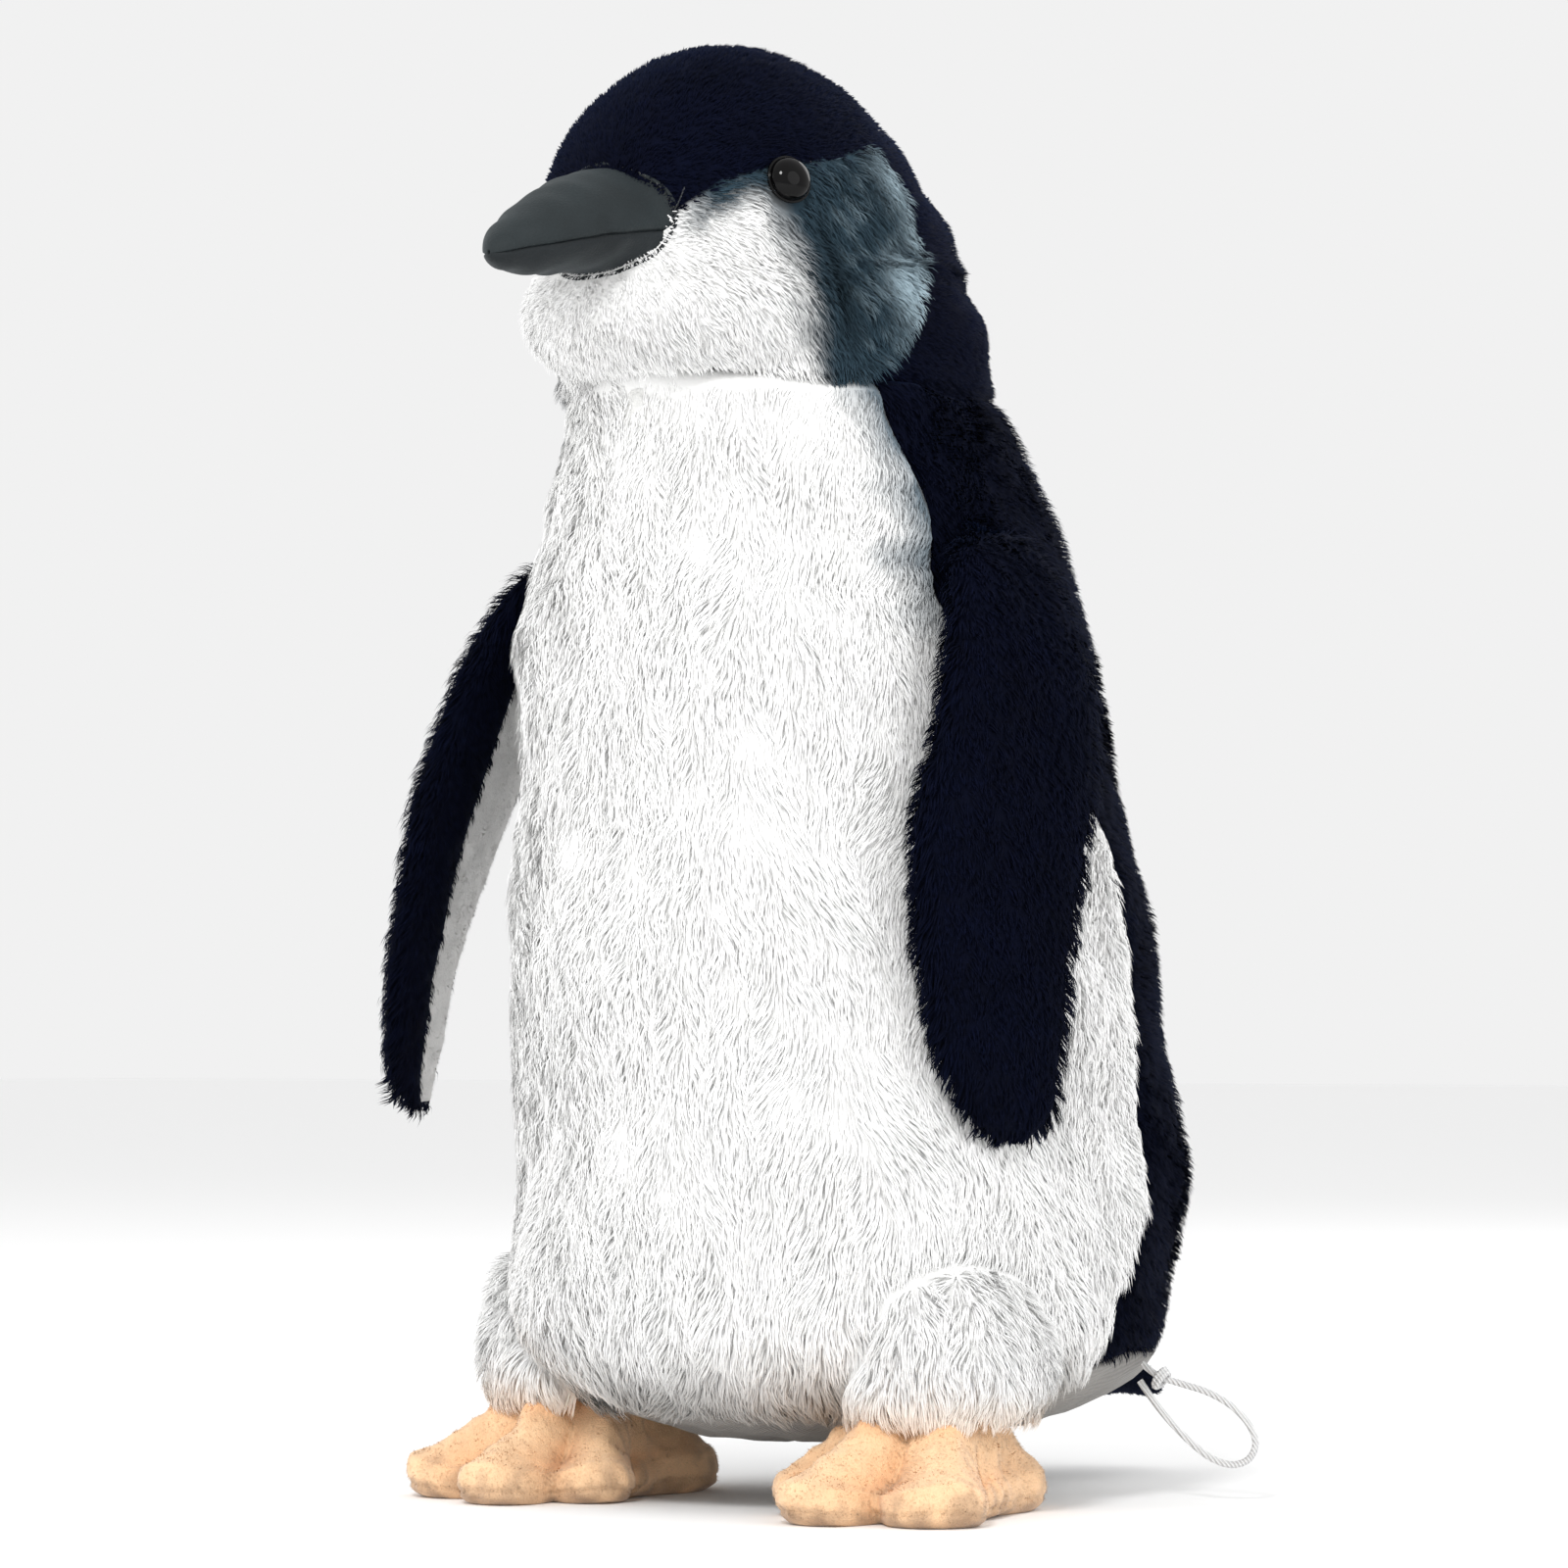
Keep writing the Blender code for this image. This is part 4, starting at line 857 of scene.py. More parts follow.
def head_tint(points):
    """Colours of the head's pile by place, with the airbrushed cheek and painted shade along the dart."""
    ray = unit(points - HEAD_CENTRE)
    angle = front_angles(np.degrees(np.arctan2(ray[..., 1], ray[..., 0])))
    up = np.degrees(np.arcsin(np.clip(ray[..., 2], -1, 1)))
    wobble = 1.6 * waves(points, 0.010, 51)
    face = inside_polygon(angle + wobble, up + 0.6 * wobble, FACE_OUTLINE)
    ear_line = edge_at(EAR_SEAM, up)
    # Grey round the eye and along the dart, white further forward.
    forward = ear_line - angle
    band = 17.0 + 8.0 * smooth_step(up, 2.0, 16.0) + 3.0 * waves(points, 0.012, 52)
    grey = 1 - smooth_step(forward, band * 0.25, band * 1.2)
    brow_edge = np.array([CAP_EDGE[0], *CAP_EDGE[2:7]])
    cap_up = np.interp(angle, brow_edge[:, 0], brow_edge[:, 1])
    brow = smooth_step(up - cap_up + 1.5 * waves(points, 0.010, 54), -10.0, -1.0)
    grey = np.maximum(grey, brow * smooth_step(angle, -72.0, -60.0) * (angle < 0))
    # Behind the dart: grey with a pale patch low down and pale tips along the rear edge.
    patch = 1.380 * np.exp(-(((angle - 6.0) / 8.5) ** 2 + ((up + 7.0) / 10.0) ** 2))
    rear = 0.94875 * np.exp(-(((angle - 8.0) / 7.0) ** 2 + ((up - 30.0) / 7.0) ** 2))
    rim = 0.828 * np.exp(-(((angle - 17.0) / 5.0) ** 2 + ((up - 14.0) / 14.0) ** 2))
    pale = np.maximum(np.maximum(patch, rear), rim) + 0.12 * waves(points, 0.008, 53)
    pale = (np.clip(pale, 0, 1) * smooth_step(-forward, 0.0, 8.0))[..., None]
    tone = CHEEK_GREY * (1 - pale) + CHEEK_PALE * pale
    # Painted shade: the cheek's tone darker along the pressed-in dart behind the eye.
    dart_shade = hump(forward, 0.0, 4.0) * smooth_step(up, -34.0, -10.0) * smooth_step(up, 20.0, 4.0)
    tone = tone * (1 - 0.45 * dart_shade[..., None])
    colour = WHITE * (1 - grey[..., None]) + tone * grey[..., None]
    return np.where(face[..., None], colour, NAVY), face, angle, up


def head_grid():
    angles = np.linspace(0.0, 360.0, 216, endpoint=False)[None, :]
    ups = np.linspace(-66.0, 89.5, 120)[:, None]
    return head_points(angles + 0 * ups, ups + 0 * angles)


def sewn_in(points):
    """Presses in the dart behind the eye, the eye's hollow, the neck and the nape's fold."""
    angle, up = head_tint(points)[2:]
    normals = normals_of(points)
    forward = (edge_at(EAR_SEAM, up) - angle) * HEAD_ARC
    dart = hump(forward, 0.0, 0.0016) * smooth_step(up, -30.0, -20.0) * smooth_step(up, 20.0, 10.0)
    depth = -0.0026 * dart + 0.0006 * waves(points, 0.030, 61)
    depth = depth - 0.0016 * hump(from_eye(points), 0.0, 0.0085)
    depth = depth - 0.0030 * smooth_step(points[..., 2], NECK_SEAM + 0.003, NECK_SEAM - 0.001)
    nape = smooth_step(angle, 16.0, 32.0)
    depth = depth + 0.0028 * nape * hump(points[..., 2], 0.3500, 0.0090)
    depth = depth - 0.0020 * nape * hump(points[..., 2], 0.3340, 0.0070)
    return points + normals * depth[..., None], normals


def make_head(rng):
    points = head_grid()
    rows, columns = points.shape[:2]
    shaped, normals = sewn_in(points)
    flat = (shaped - normals * 0.0012).reshape(-1, 3)
    tint = head_tint(points.reshape(-1, 3))[0]
    quads = faces_out(flat, grid_quads(rows, columns, wrap=True), HEAD_CENTRE)
    middle = flat[quads].mean(axis=1)
    quads = quads[middle[:, 2] > NECK_SEAM - 0.010]
    middle = flat[quads].mean(axis=1)
    _, on_face, angle, up = head_tint(middle)
    ear = on_face & (angle > edge_at(EAR_SEAM, up)) & (up > -32)
    left = middle[:, 0] >= 0
    for name, pile_name, chosen, colour, node in (
        ("head_cap", "head_cap_pile", ~on_face, "navy", "head_crown"),
        ("face_cloth_left", "face_pile_left", on_face & ~ear & left, "white", "face_panel_left"),
        ("face_cloth_right", "face_pile_right", on_face & ~ear & ~left, "white", "face_panel_right"),
        ("ear_cloth_left", "ear_pile_left", ear & left, "grey", "ear_panel_left"),
        ("ear_cloth_right", "ear_pile_right", ear & ~left, "grey", "ear_panel_right"),
    ):
        wear = (colour + "_pile", "body", colour + "_plush")
        used, own = cut_out(quads[chosen])
        # The cloth is painted darker than its pile, as shade deep in the pile.
        cloth(name, flat[used], own, tint[used] * 0.93, wear, 0.0016, 0.85, node)
        head_pile(pile_name, flat[used], own, wear, rng, colour == "navy")


def head_pile(name, flat, quads, wear, rng, navy):
    """The head's pile, none of it over the eye or the beak's base."""
    count = strand_count(areas(flat, quads).sum(), 1.7 if navy else 1.8)
    roots = scatter(flat, quads, count, rng)[0]
    under_beak = (roots[:, 0] / 0.0196) ** 2 + ((roots[:, 2] - 0.3425) / 0.0112) ** 2 <= 1.0
    roots = roots[(from_eye(roots) > 0.0066) & ~(under_beak & (roots[:, 1] <= -0.07))]
    tint = speckled(head_tint(roots)[0], len(roots), 0.10, 0.65, 1.35, rng)
    # The pile lies away from the beak, over the head and down the cheeks.
    away = unit(roots - BEAK_MIDDLE)
    reach = np.linalg.norm(roots - BEAK_MIDDLE, axis=1)
    if navy:
        comb, length = away * 0.9 + DOWN * 0.25, 0.0026
    else:
        near = smooth_step(-reach, -0.075, -0.02)[:, None]
        comb = away * (0.45 + 0.6 * near) + DOWN * (1.0 - near * 0.7)
        length = 0.0026 + 0.0024 * smooth_step(reach, 0.018, 0.040)
    comb = comb + 0.25 * swirl(roots, 0.010, 71)
    pile(name, roots, normals_of(roots), comb, length, 0.40 if navy else 0.36, 0.00052,
         np.clip(tint, 0, 0.95), wear, rng, clump=0.30 if navy else 0.32, painted_root_shade=0.55 if navy else 0.94)


# Beak.

BEAK_BASE = (-0.0975, 0.3425)
BEAK_HALF_WIDTH = 0.0212
BEAK_HALF_HEIGHT = 0.0125
BEAK_TIP = (-0.1500, 0.3285)
MOUTH_TURN = -14.0
BEAK_SHADE = (0.012, 0.017, 0.019)
# The same suede painted darker for the lower beak, as shade under the beak.
BEAK_LOWER_PAINTED_SHADE = (0.008, 0.011, 0.013)


def beak_section(forward, turns):
    """The beak's outline at these turns, from forward 0, in the face, to 1, its tip."""
    turn = np.radians(turns)
    side, rise = np.cos(turn), np.sin(turn)
    level = np.full(len(turn), BEAK_BASE[0])
    target = np.stack([BEAK_HALF_WIDTH * side, level, BEAK_BASE[1] + BEAK_HALF_HEIGHT * rise], axis=-1)
    ray = unit(target - HEAD_CENTRE)
    base = cast(np.broadcast_to(HEAD_CENTRE, ray.shape), ray)
    base = base - normals_of(base) * 0.0010
    centre_y = BEAK_BASE[0] + (BEAK_TIP[0] - BEAK_BASE[0]) * forward
    centre_z = BEAK_BASE[1] + (BEAK_TIP[1] + 0.0020 - BEAK_BASE[1]) * forward**1.7
    taper = (1 - forward**2.1) ** 0.60
    width = BEAK_HALF_WIDTH * taper * (1 - 0.22 * forward)
    height = BEAK_HALF_HEIGHT * taper**0.85
    bulge = 1 + 0.22 * math.sin(math.pi * min(1.0, forward * 1.25)) * (rise > 0)
    ring = np.stack([width * side, np.full(len(turn), centre_y), centre_z + height * rise * bulge], axis=-1)
    blend = min(1.0, forward * 3.2)
    return base * (1 - blend) + ring * blend


def make_beak():
    """Upper and lower beak, with the seam of the mouth pressed in between them."""
    around = 96
    turns = np.linspace(0, 360, around, endpoint=False)
    tip = 0.9 + 0.0985 * np.sin(np.linspace(0.1, math.pi / 2, 12))
    forward = np.concatenate([np.linspace(0, 0.9, 42), tip])
    rings = np.array([beak_section(step, turns) for step in forward])
    right_mouth, left_mouth = MOUTH_TURN + 360, 180 - MOUTH_TURN
    seam = (hump(turns, right_mouth, 3.6) + hump(turns, left_mouth, 3.6))[None, :]
    centre = rings.mean(axis=1, keepdims=True)
    out = unit(rings - centre)
    depth = -0.0010 * seam * smooth_step(1 - forward, 0.0, 0.06)[:, None]
    depth = depth + 0.0003 * waves(rings, 0.012, 81) + 0.00035 * waves(rings, 0.028, 82)
    rings = rings + out * depth[..., None]
    step = 360.0 / around
    # The lower beak is painted darker than the upper, as shade under the beak.
    for name, chosen, start, shade, node in (
        ("beak_top", lambda t: (t >= right_mouth) | (t <= left_mouth), 90, BEAK_SHADE, "beak_upper"),
        ("beak_bottom", lambda t: (t <= right_mouth) & (t >= left_mouth), 0, BEAK_LOWER_PAINTED_SHADE, "beak_lower"),
    ):
        pick = np.flatnonzero(chosen(turns) | chosen((turns + step) % 360) | chosen((turns - step) % 360))
        pick = sorted(pick, key=lambda index: (turns[index] + start) % 360)
        flat = rings[:, pick].reshape(-1, 3)
        tint = np.broadcast_to(shade, flat.shape) * (1 + 0.10 * waves(flat, 0.02, 83))[:, None]
        quads = faces_out(flat, grid_quads(len(forward), len(pick)), rings.mean(axis=(0, 1)))
        cloth(name, flat, quads, tint, ("suede", "body", "charcoal_suede"), 0.0010, 0.9, node)
    beak_stitches()


def beak_stitches():
    """The small overcast stitches that hold the beak to the face, and one loose thread end."""
    turns = np.linspace(0, 360, 64, endpoint=False)
    outer = beak_section(0.10, turns)
    base = beak_section(0.0, turns)
    out = unit(outer - outer.mean(axis=0))
    for index in range(len(turns)):
        lean = 0.35 if index % 3 else 0.75
        beside = base[(index + 1) % len(turns)]
        a = outer[index] + out[index] * 0.0001
        b = base[index] * (1 - lean) + beside * lean + out[index] * 0.0004
        middle = (a + b) / 2 + out[index] * 0.0005
        route = smooth_route((a, middle, b), 3)
        tube(f"beak_stitch_{index:02d}", route, 0.00021, "thread_dark", 6)
    start = beak_section(0.02, np.array([8.0]))[0]
    end = start + np.array((0.0045, -0.001, 0.0060))
    middle = (start + end) / 2 + np.array((0.0008, -0.001, -0.0006))
    route = smooth_route((start, middle, end), 5)
    tube("beak_thread_end", route, 0.00018, "thread_dark", 6)


# Eyes.

EYE_PLACE = np.array((0.0400, -0.0750, 0.3540))
EYE_RADIUS = 0.0060
EYE_SEAT_DEPTH = 0.0008
EYE_RISE = 0.0040
EYE_RIM = [(0.00605, 0.0006), (0.00625, 0.0008), (0.0065, 0.0007), (0.0066, 0.0003), (0.0063, -0.0006),
           (0.0030, -0.0012)]


def make_eyes():
    """Glossy domes with a thin rim, looking out of the fur."""
    for name, side in (("left", 1.0), ("right", -1.0)):
        ray = unit(EYE_PLACE - HEAD_CENTRE)
        place = cast(HEAD_CENTRE[None], ray[None])[0]
        facing = normals_of(place[None])[0]
        place, facing = mirrored(place, side), mirrored(facing, side)
        first = unit(np.cross(facing, np.array((0.0, 0.0, 1.0))))
        second = np.cross(facing, first)
        dome = np.linspace(math.pi / 2 * 0.985, 0, 14)
        profile = [(EYE_RADIUS * math.cos(t), EYE_SEAT_DEPTH + EYE_RISE * math.sin(t)) for t in dome]
        profile += EYE_RIM
        around = 64
        turn = np.linspace(0, 2 * math.pi, around, endpoint=False)
        spoke = first * np.cos(turn)[:, None] + second * np.sin(turn)[:, None]
        rings = np.array([place + facing * height + radius * spoke for radius, height in profile])
        flat = rings.reshape(-1, 3)
        quads = faces_out(flat, grid_quads(len(profile), around, wrap=True), place - facing * 0.01)
        count = len(profile) * around
        top, bottom = tuple(range(around)), tuple(range(count - around, count))
        if np.dot(np.cross(flat[1] - flat[0], flat[2] - flat[1]), facing) < 0:
            top = top[::-1]
        else:
            bottom = bottom[::-1]
        piece = add_mesh("eye_dome_" + name, flat, quads, 0.003, "eye", "body", "black_eye", (top, bottom))
        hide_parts("eye_" + name)


# Legs and feet.

LEG_CENTRE = np.array((0.0600, -0.0360, 0.0))
LEG_HEM = 0.0300
LEG_TOP = 0.0640
LEG_RADIUS = 0.0270
FOOT_CENTRE = np.array((0.0600, -0.0470, 0.0))
FOOT_RADIUS = 0.0250
FOOT_LOBES = (
    (-147.0, 0.0255, 0.0115),
    (-98.0, 0.0330, 0.0120),
    (-42.0, 0.0300, 0.0140),
    (97.0, 0.0295, 0.0215),
)
LOBE_BLEND = 0.0014
ANKLE_RADIUS = 0.0165
ANKLE_HEIGHT = 0.0360
SOLE_ROUND = 0.0058
SOLE_SHARE = 0.34                        # how much of a foot's rows go round the sole's edge


def lobe_reach(turn, way, distance, radius):
    """How far out a rounded lobe reaches: a bar from the foot's centre with a round end."""
    away = np.radians((turn - way + 180.0) % 360.0 - 180.0)
    on_bar = radius / np.maximum(np.abs(np.sin(away)), 1e-6)
    beside = (np.cos(away) > 0) & (on_bar * np.cos(away) <= distance)
    across = np.clip(radius**2 - (distance * np.sin(away)) ** 2, 0.0, None)
    end = distance * np.cos(away) + np.sqrt(across)
    met = np.abs(distance * np.sin(away)) <= radius
    return np.where(beside, on_bar, np.where(met & (np.cos(away) > 0), end, radius))


def foot_reach(turn):
    """Plan of the foot about its centre: how far out it reaches at each turn."""
    total = np.exp(np.full(turn.shape, FOOT_RADIUS) / LOBE_BLEND)
    for way, distance, radius in FOOT_LOBES:
        total = total + np.exp(lobe_reach(turn, way, distance, radius) / LOBE_BLEND)
    return LOBE_BLEND * np.log(total)


def toe_weight(turn):
    """1 along a toe or the heel, 0 in the hollows between toes."""
    weight = np.zeros(turn.shape)
    for way, _, _ in FOOT_LOBES:
        away = (turn - way + 180.0) % 360.0 - 180.0
        spread = 19.0 if way < 0 else 78.0
        weight = np.maximum(weight, np.exp(-((away / spread) ** 2)))
    return weight


def foot_surface(side, turn, rows):
    """Rings of the foot from its flat sole round the toes and up to the ankle."""
    reach = foot_reach(turn)
    toes = toe_weight(turn)
    toe_top = 0.0108 + 0.0062 * toes
    spoke = np.stack([np.cos(np.radians(turn)) * side, np.sin(np.radians(turn))], axis=-1)
    ankle = spoke * ANKLE_RADIUS + np.array((LEG_CENTRE[0] * side, LEG_CENTRE[1]))
    rings, lows = [], []
    for t in np.linspace(0, 1, rows):
        # First round the edge of the sole, over the seam, then over the toes to the ankle.
        angle = -math.pi / 2 + min(t / SOLE_SHARE, 1.0) * math.pi * 0.72
        up = max(t - SOLE_SHARE, 0.0) / (1 - SOLE_SHARE)
        out = reach - SOLE_ROUND + SOLE_ROUND * math.cos(angle)
        z = (toe_top * 0.42) * (1 + math.sin(angle))
        if up > 0:
            crown = math.sin(min(up * 1.5, 1.0) * math.pi / 2) ** 0.8
            groove = (1 - toes) * 0.0040 * hump(up, 0.46, 0.30)
            z = z + (toe_top - z) * crown * (1 - up) ** 0.25 + (ANKLE_HEIGHT - z) * up**2.1 - groove
        plan = spoke * out[:, None] + np.array((FOOT_CENTRE[0] * side, FOOT_CENTRE[1]))
        ease = up**0.9
        rings.append(np.column_stack([plan * (1 - ease) + ankle * ease, z]))
        lows.append(np.full(turn.shape, t))
    return np.array(rings), np.array(lows), toes


def make_feet(rng):
    for name, side in (("left", 1.0), ("right", -1.0)):
        around, rows = 168, 66
        turn = np.linspace(0, 360, around, endpoint=False)
        rings, lows, toes = foot_surface(side, turn, rows)
        centre = np.array((FOOT_CENTRE[0] * side, FOOT_CENTRE[1], 0.010))
        out = unit(rings - centre)
        seam = hump(lows, 0.17, 0.022)
        soft = smooth_step(lows, 0.05, 0.14)
        depth = -0.0007 * seam + soft * (0.0005 * waves(rings, 0.016, 91) + 0.00035 * waves(rings, 0.006, 92))
        pucker = seam * 0.00028 * np.sin(np.radians(turn) * 60)[None, :]
        rings = rings + out * (depth + pucker)[..., None]
        rings[..., 2] = np.maximum(rings[..., 2], 0.0)
        flat = rings.reshape(-1, 3)
        tint = foot_tint(flat, lows.ravel(), np.tile(toes, rows))
        quads = faces_out(flat, grid_quads(rows, around, wrap=True), centre)
        turned_over = not np.array_equal(quads[0], grid_quads(2, around, wrap=True)[0])
        sole = tuple(range(around))
        sole = sole if turned_over else sole[::-1]
        wear = ("peach_velboa", "body", "peach_velboa")
        piece = add_mesh("foot_cloth_" + name, flat, quads, tint, *wear, (sole,))
        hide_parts("foot_upper_" + name, "foot_sole_" + name, "foot_stuffing_" + name)
        above_sole = flat[quads].mean(axis=1)[:, 2] > 0.0025
        nap("foot_nap_" + name, flat, quads, tint, wear, rng, 1.3, 0.0011, above_sole)


def foot_tint(points, lows, toes):
    """Peach with painted shade: orange round the ankle under the cuff and in the hollows between the toes,
    and brown round the sole's edge where the foot turns under; also brown patches low down.
    """
    # Painted shade: brown round the sole's edge, where the foot turns under towards the floor.
    sole_shade_mask = 1 - smooth_step(lows + 0.02 * waves(points, 0.006, 95), 0.10, 0.24)
    sole_shade = np.clip(sole_shade_mask * (0.75 + 0.35 * waves(points, 0.010, 96)), 0, 1)
    # Painted shade: orange round the ankle under the cuff and in the grooves between the toes.
    ankle = smooth_step(points[:, 2], 0.019, 0.031)
    hollow = (1 - toes) * hump(lows, 0.45, 0.16)
    recess_shade = np.clip(ankle * 0.75 + hollow * 0.55, 0, 0.9)
    tint = PEACH * (1 - recess_shade[:, None]) + PEACH_ORANGE * recess_shade[:, None]
    # Brown patches at random low down on the foot.
    low_brown_patches = np.clip(0.5 * waves(points, 0.010, 97), 0, 0.5) * smooth_step(points[:, 2], 0.015, 0.008)
    tint = tint * (1 - low_brown_patches[:, None]) + PEACH_BROWN * low_brown_patches[:, None]
    return tint * (1 - 0.8 * sole_shade[:, None]) + PEACH_BROWN * 0.8 * sole_shade[:, None]


def nap(name, flat, quads, tint, wear, rng, per_mm2, length, keep=1.0):
    """Very short brushed fibres over a cloth, in the cloth's own colours, painted darker at the roots as
    shade.
    """
    count = strand_count((areas(flat, quads) * keep).sum(), per_mm2)
    roots, chosen, share = scatter(flat, quads, count, rng, keep)
    normals = unit(doubled_area(flat, quads[chosen]))
    colour = np.einsum("nk,nkd->nd", share, tint[quads[chosen]])
    colour = speckled(colour, count, 0.12, 0.7, 1.4, rng)
    pile(name, roots, normals, DOWN + 0.6 * swirl(roots, 0.007, 101), length, 0.45, 0.00030,
         np.clip(colour, 0, 0.97), wear, rng, steps=1, tuft=6, clump=0.2, painted_root_shade=0.85)


# How wide the cuff is up its height, against the leg.
CUFF_PROFILE = ((0.0, 0.95), (0.12, 1.04), (0.35, 1.08), (0.60, 1.00), (0.80, 0.84), (1.0, 0.50))


def make_legs(rng):
    """White pile cuffs with a tufted lower hem over the ankles."""
    around, rows = 120, 40
    turn = np.radians(np.linspace(0, 360, around, endpoint=False))
    for name, side in (("left", 1.0), ("right", -1.0)):
        centre = mirrored(LEG_CENTRE, side)
        spoke = np.stack([np.cos(turn), np.sin(turn), np.zeros(around)], axis=-1)
        share = np.linspace(0, 1, rows)
        radius = LEG_RADIUS * 1.03 * smooth_table(CUFF_PROFILE, share)[0]
        height = LEG_HEM - 0.002 + (LEG_TOP + 0.010 - LEG_HEM) * share
        rings = centre + spoke * radius[:, None, None] - DOWN * height[:, None, None]
        flat = rings.reshape(-1, 3)
        quads = faces_out(flat, grid_quads(rows, around, wrap=True), centre - DOWN * 0.045)
        used, quads = cut_out(quads[(outer_field(flat) > -0.004)[quads].any(axis=1)])
        flat = flat[used]
        radial = unit((flat - centre) * (1, 1, 0))
        flat = flat + radial * (0.0008 * waves(flat, 0.02, 111))[:, None]
        wear = ("white_pile", "body", "white_plush")
        # The cloth is painted darker than its pile, as shade deep in the pile.
        tint = cuff_tint(flat) * 0.85
        cloth("cuff_cloth_" + name, flat, quads, tint, wear, 0.0016, 0.7, "leg_cuff_" + name)
        hem = flat[quads].mean(axis=1)[:, 2] < LEG_HEM + 0.004
        count = strand_count(areas(flat, quads).sum(), 2.0)
        roots, chosen, _ = scatter(flat, quads, count, rng, 1.0 + 1.2 * hem)
        free = outer_field(roots) > 0.0015
        roots, chosen = roots[free], chosen[free]
        comb = DOWN + 0.30 * swirl(roots, 0.011, 121)
        tint = speckled(cuff_tint(roots), len(roots), 0.05, 0.8, 1.2, rng)
        lift = 0.32 - 0.12 * smooth_step(roots[:, 2], LEG_HEM + 0.010, LEG_HEM)
        pile("cuff_pile_" + name, roots, unit(doubled_area(flat, quads[chosen])), comb, 0.0072, lift, 0.00048,
             np.clip(tint, 0, 0.96), wear, rng, steps=3, tuft=14, clump=0.50, painted_root_shade=0.95)


def cuff_tint(points):
    """White, with peach painted on the hem as light from the peach feet below."""
    low = smooth_step(points[:, 2], LEG_HEM + 0.008, LEG_HEM - 0.002)[:, None] * 0.5
    return WHITE * (1 - low) + np.array((0.93, 0.74, 0.58)) * low


# Flippers: height, angle round the body, half chord and half thickness.

FLIPPER_STATIONS = (
    (0.262, -9.0, 0.0080, 0.0022),
    (0.255, -10.0, 0.0180, 0.0050),
    (0.242, -11.0, 0.0225, 0.0072),
    (0.226, -13.0, 0.0255, 0.0084),
    (0.206, -17.0, 0.0275, 0.0088),
    (0.184, -22.0, 0.0280, 0.0086),
    (0.160, -26.0, 0.0250, 0.0080),
    (0.136, -28.0, 0.0215, 0.0072),
    (0.118, -27.5, 0.0175, 0.0062),
    (0.106, -26.5, 0.0125, 0.0050),
    (0.100, -26.0, 0.0060, 0.0026),
)
FLIPPER_CLEARANCE = 0.0012
FLIPPER_HINGE = (0.262, -9.0)
FLIPPER_HINGE_OUT = 0.0034
RIGHT_FLIPPER_LIFT = math.radians(13.0)
INNER_TURNS = (246.0, 357.0)             # the white inside, between these turns of a section
# The inner white velboa, painted grey as shade between the flipper and the body.
FLIPPER_INNER_SHADED_WHITE = np.array((0.66, 0.66, 0.655))


def flipper_rings(turns, rows):
    """The left flipper's outline at these turns, from its root to its tip."""
    share = np.linspace(0, 1, len(FLIPPER_STATIONS))
    wanted = 0.5 - 0.5 * np.cos(np.linspace(0, math.pi, rows))
    wanted = 0.35 * wanted + 0.65 * np.linspace(0, 1, rows)
    table = np.column_stack([share, np.array(FLIPPER_STATIONS)])
    height, angle, chord, thickness = smooth_table(table, wanted)
    surface = body_points(angle, height)
    normal = normals_of(surface)
    normal[:, 2] = 0.0
    normal = unit(normal)
    forward = np.stack([normal[:, 1], -normal[:, 0], np.zeros(rows)], axis=-1)
    centre = surface + normal * (thickness + FLIPPER_CLEARANCE)[:, None]
    turn = np.radians(turns)
    return (
        centre[:, None]
        - forward[:, None] * (chord[:, None] * np.cos(turn)[None])[..., None]
        + normal[:, None] * (thickness[:, None] * np.sin(turn)[None])[..., None]
    )


def hinge_turned(points):
    """Turns the right flipper's mirror image out from the body about its hinge."""
    surface = body_points(np.array(FLIPPER_HINGE[1]), np.array(FLIPPER_HINGE[0]))
    outward = normals_of(surface)
    hinge = surface + outward * FLIPPER_HINGE_OUT
    flat_out = unit(outward * np.array((1, 1, 0)))
    axis = np.array((flat_out[1], -flat_out[0], 0.0))
    c, s = math.cos(RIGHT_FLIPPER_LIFT), math.sin(RIGHT_FLIPPER_LIFT)
    local = points - hinge
    moved = local * c + np.cross(axis, local) * s + axis * (local @ axis)[..., None] * (1 - c)
    return mirrored(moved + hinge, -1.0)


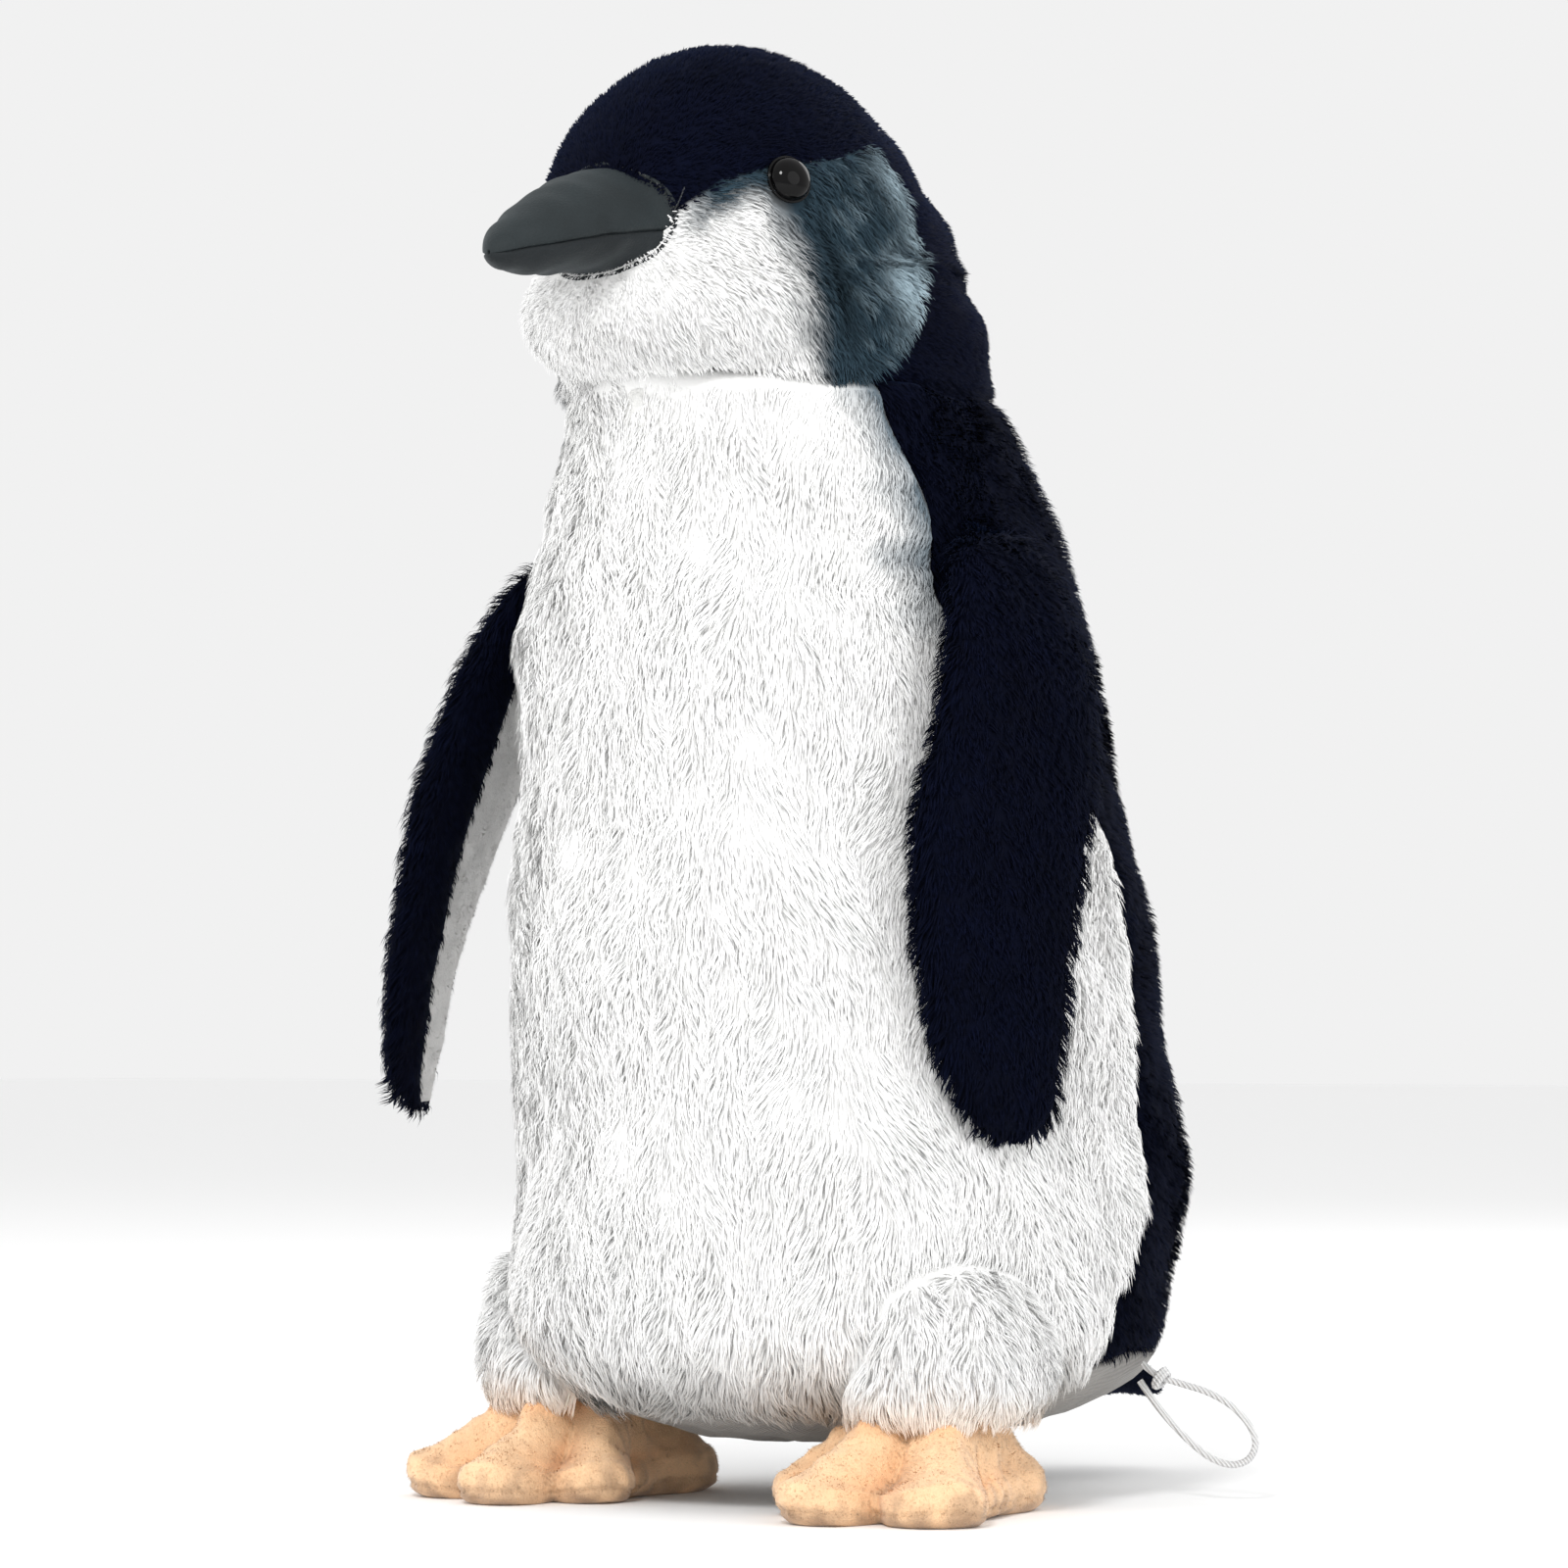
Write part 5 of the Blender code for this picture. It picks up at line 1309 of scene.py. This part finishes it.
def make_flippers(rng):
    for name, side in (("left", 1.0), ("right", -1.0)):
        around, rows = 96, 90
        turns = np.linspace(0, 360, around, endpoint=False)
        rings = flipper_rings(turns, rows)
        out = unit(rings - rings.mean(axis=1, keepdims=True))
        edge = hump(turns, INNER_TURNS[0], 5.0) + hump(turns, INNER_TURNS[1], 5.0)
        depth = -0.0007 * edge[None] + 0.0006 * waves(rings, 0.030, 131) + 0.0003 * waves(rings, 0.012, 132)
        rings = rings + out * (depth - 0.0006)[..., None]
        if side < 0:
            rings = hinge_turned(rings)
        root, tip = (rings[end].mean(axis=0)[None, None].repeat(around, 1) for end in (0, -1))
        rings = np.concatenate([root, rings, tip])
        flat = rings.reshape(-1, 3)
        quads = faces_out(flat, grid_quads(len(rings), around, wrap=True), rings[rows // 2].mean(axis=0))
        row, column = np.divmod(quads.min(axis=1), around)
        white = (turns[column] >= INNER_TURNS[0]) & (turns[column] < INNER_TURNS[1])
        white &= (row > 6) & (row < rows - 4)
        # The outer cloth is navy painted darker than its pile, as shade deep in the pile.
        for part, chosen, colour, material, slot in (
            ("outer", ~white, NAVY * 0.8, "navy_pile", "navy_plush"),
            ("inner", white, FLIPPER_INNER_SHADED_WHITE, "white_velboa", "white_velboa"),
        ):
            wear = (material, name + "_flipper", slot)
            used, own = cut_out(quads[chosen])
            tint = np.broadcast_to(colour, (len(used), 3))
            cloth(f"flipper_{part}_cloth_{name}", flat[used], own, tint, wear, 0.0009, 0.8,
                  f"flipper_{part}_{name}")
            if part == "inner":
                nap("flipper_inner_nap_" + name, flat[used], own, tint, wear, rng, 1.2, 0.0012)
            else:
                flipper_pile("flipper_pile_" + name, flat[used], own, rings, wear, rng)


def flipper_pile(name, flat, quads, rings, wear, rng):
    """Pile combed to the tip, longer and fanned out along the flipper's rim."""
    count = strand_count(areas(flat, quads).sum(), 1.35)
    roots, chosen, _ = scatter(flat, quads, count, rng)
    normals = unit(doubled_area(flat, quads[chosen]))
    axis = unit(rings[-1].mean(axis=0) - rings[0].mean(axis=0))
    middle = rings.mean(axis=1)
    nearest = np.argmin(np.abs(roots[:, None, 2] - middle[None, :, 2]), axis=1)
    beside = roots - middle[nearest]
    beside = beside - axis * (beside @ axis)[:, None]
    reach = np.linalg.norm(beside, axis=1)
    widest = np.maximum(np.linalg.norm(rings - middle[:, None], axis=2).max(axis=1)[nearest], 0.004)
    rim = smooth_step(reach / widest, 0.80, 1.0)
    comb = axis + 0.75 * rim[:, None] * unit(beside)
    comb = comb + 0.18 * swirl(roots, 0.010, 141)
    tint = speckled(NAVY, count, 0.15, 0.6, 1.5, rng)
    pile(name, roots, normals, comb, 0.0034 + 0.0042 * rim, 0.34, 0.00060, tint, wear, rng,
         tuft=12, clump=0.55)


# Tail.

TAIL_ROOT = (0.0950, 0.0380)
TAIL_TIP = (0.1390, 0.0235)
TAIL_ROOT_CURVE = 6.0
TAIL_HALF_WIDTH = 0.0270
TAIL_HALF_THICKNESS = 0.0042


def tail_section(forward, turns):
    """The tail's outline at these turns, from forward 0, at the body, to 1, its tip."""
    turn = np.radians(turns)
    rise = 1.35 * forward - 0.35 * forward**2.5
    z = TAIL_ROOT[1] + (TAIL_TIP[1] - TAIL_ROOT[1]) * rise
    taper = (1 - forward**3.2) ** 0.5
    width = TAIL_HALF_WIDTH * (0.92 + 0.10 * forward) * taper - 0.0006
    thickness = TAIL_HALF_THICKNESS * (1.15 - 0.35 * forward) * taper**0.5 - 0.0006
    x = width * np.cos(turn)
    y = TAIL_ROOT[0] + (TAIL_TIP[0] - TAIL_ROOT[0]) * forward
    y = y - (1 - forward) * TAIL_ROOT_CURVE * x**2
    return np.stack([x, y, z + thickness * np.sin(turn)], axis=-1)


def make_tail(rng):
    around, rows = 84, 44
    turns = np.linspace(0, 360, around, endpoint=False)
    steps = 0.988 * np.sin(np.linspace(0, math.pi / 2, rows)) ** 0.9
    rings = np.array([tail_section(step, turns) for step in steps])
    crease = 0.0008 * np.cos(np.pi * np.clip(rings[..., 0] / 0.014, -1, 1))
    above = rings[..., 2] > rings[..., 2].mean(axis=1, keepdims=True)
    rings[..., 2] -= np.where(above, crease, -crease * 0.4)
    rings[..., 2] += 0.0005 * waves(rings, 0.02, 151)
    flat = rings.reshape(-1, 3)
    quads = faces_out(flat, grid_quads(rows, around, wrap=True), rings[rows // 2].mean(axis=0))
    upper = quads.min(axis=1) % around < around // 2
    wear = ("navy_pile", "tail", "navy_plush")
    for part, chosen, node in (("top", upper, "tail_upper"), ("bottom", ~upper, "tail_under")):
        used, own = cut_out(quads[chosen])
        panel = flat[used]
        # The cloth is painted darker than its pile, as shade deep in the pile.
        tint = np.broadcast_to(NAVY * 0.8, panel.shape)
        cloth("tail_cloth_" + part, panel, own, tint, wear, 0.0009, 0.6, node)
        count = strand_count(areas(panel, own).sum(), 2.0)
        roots, picked, _ = scatter(panel, own, count, rng)
        normals = unit(doubled_area(panel, own[picked]))
        comb = np.array((0.0, 1.0, -0.2)) + 0.25 * swirl(roots, 0.010, 161)
        colour = speckled(NAVY, count, 0.15, 0.6, 1.5, rng)
        free = outer_field(roots) > 0.0005
        pile("tail_pile_" + part, roots[free], normals[free], comb[free], 0.0028, 0.34, 0.00050, colour[free],
             wear, rng, tuft=10, clump=0.4)


# Inner parts, floor and light.

def dress_inner_nodes():
    """Materials for the filling, the pellet bag and the eyes' washers, which keep their solids."""
    for name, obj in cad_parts.items():
        for word, kind in (("stuffing", "fibre"), ("pellet_bag", "pellets"), ("washer", "washer")):
            if word in name:
                obj.data.materials.clear()
                obj.data.materials.append(MATERIALS[kind])


def make_floor():
    """A plain pale floor, wide enough to run out of sight."""
    mesh = bpy.data.meshes.new("floor")
    size = 14.0
    corners = [(-size, -size, 0), (size, -size, 0), (size, size, 0), (-size, size, 0)]
    mesh.from_pydata(corners, [], [(0, 1, 2, 3)])
    floor = bpy.data.objects.new("floor", mesh)
    made = bpy.data.materials.new("floor")
    made.use_nodes = True
    shader = made.node_tree.nodes["Principled BSDF"]
    shader.inputs["Base Color"].default_value = (*FLOOR_SHADE, 1.0)
    shader.inputs["Roughness"].default_value = 0.9
    mesh.materials.append(made)
    bpy.context.scene.collection.objects.link(floor)


def add_light(name, place, target, size, power):
    """A round soft light, turned to the target."""
    data = bpy.data.lights.new(name, "AREA")
    data.shape = "DISK"
    data.size = size
    data.energy = power
    light = bpy.data.objects.new(name, data)
    light.location = place
    light.rotation_euler = (Vector(target) - Vector(place)).to_track_quat("-Z", "Y").to_euler()
    bpy.context.scene.collection.objects.link(light)


def make_lights():
    middle = (0.0, 0.0, 0.2)
    add_light("key", (0.75, -1.55, 1.45), middle, 0.45, 20.0)
    add_light("fill", (2.1, -0.3, 0.9), middle, 1.8, 9.0)
    add_light("side", (-1.9, -1.2, 0.7), middle, 1.8, 13.0)
    add_light("back", (0.2, 1.9, 1.3), middle, 1.4, 10.0)
    world = bpy.data.worlds.new("studio")
    world.use_nodes = True
    sky = world.node_tree.nodes["Background"]
    sky.inputs["Color"].default_value = (1.0, 1.0, 1.0, 1.0)
    sky.inputs["Strength"].default_value = 0.88
    bpy.context.scene.world = world
    bpy.context.scene.view_settings.view_transform = "Standard"


def main():
    rng = np.random.default_rng(7)
    make_camera()
    make_loop()
    make_body(rng)
    make_head(rng)
    make_beak()
    make_eyes()
    make_legs(rng)
    make_feet(rng)
    make_flippers(rng)
    make_tail(rng)
    dress_inner_nodes()
    make_floor()
    make_lights()


main()
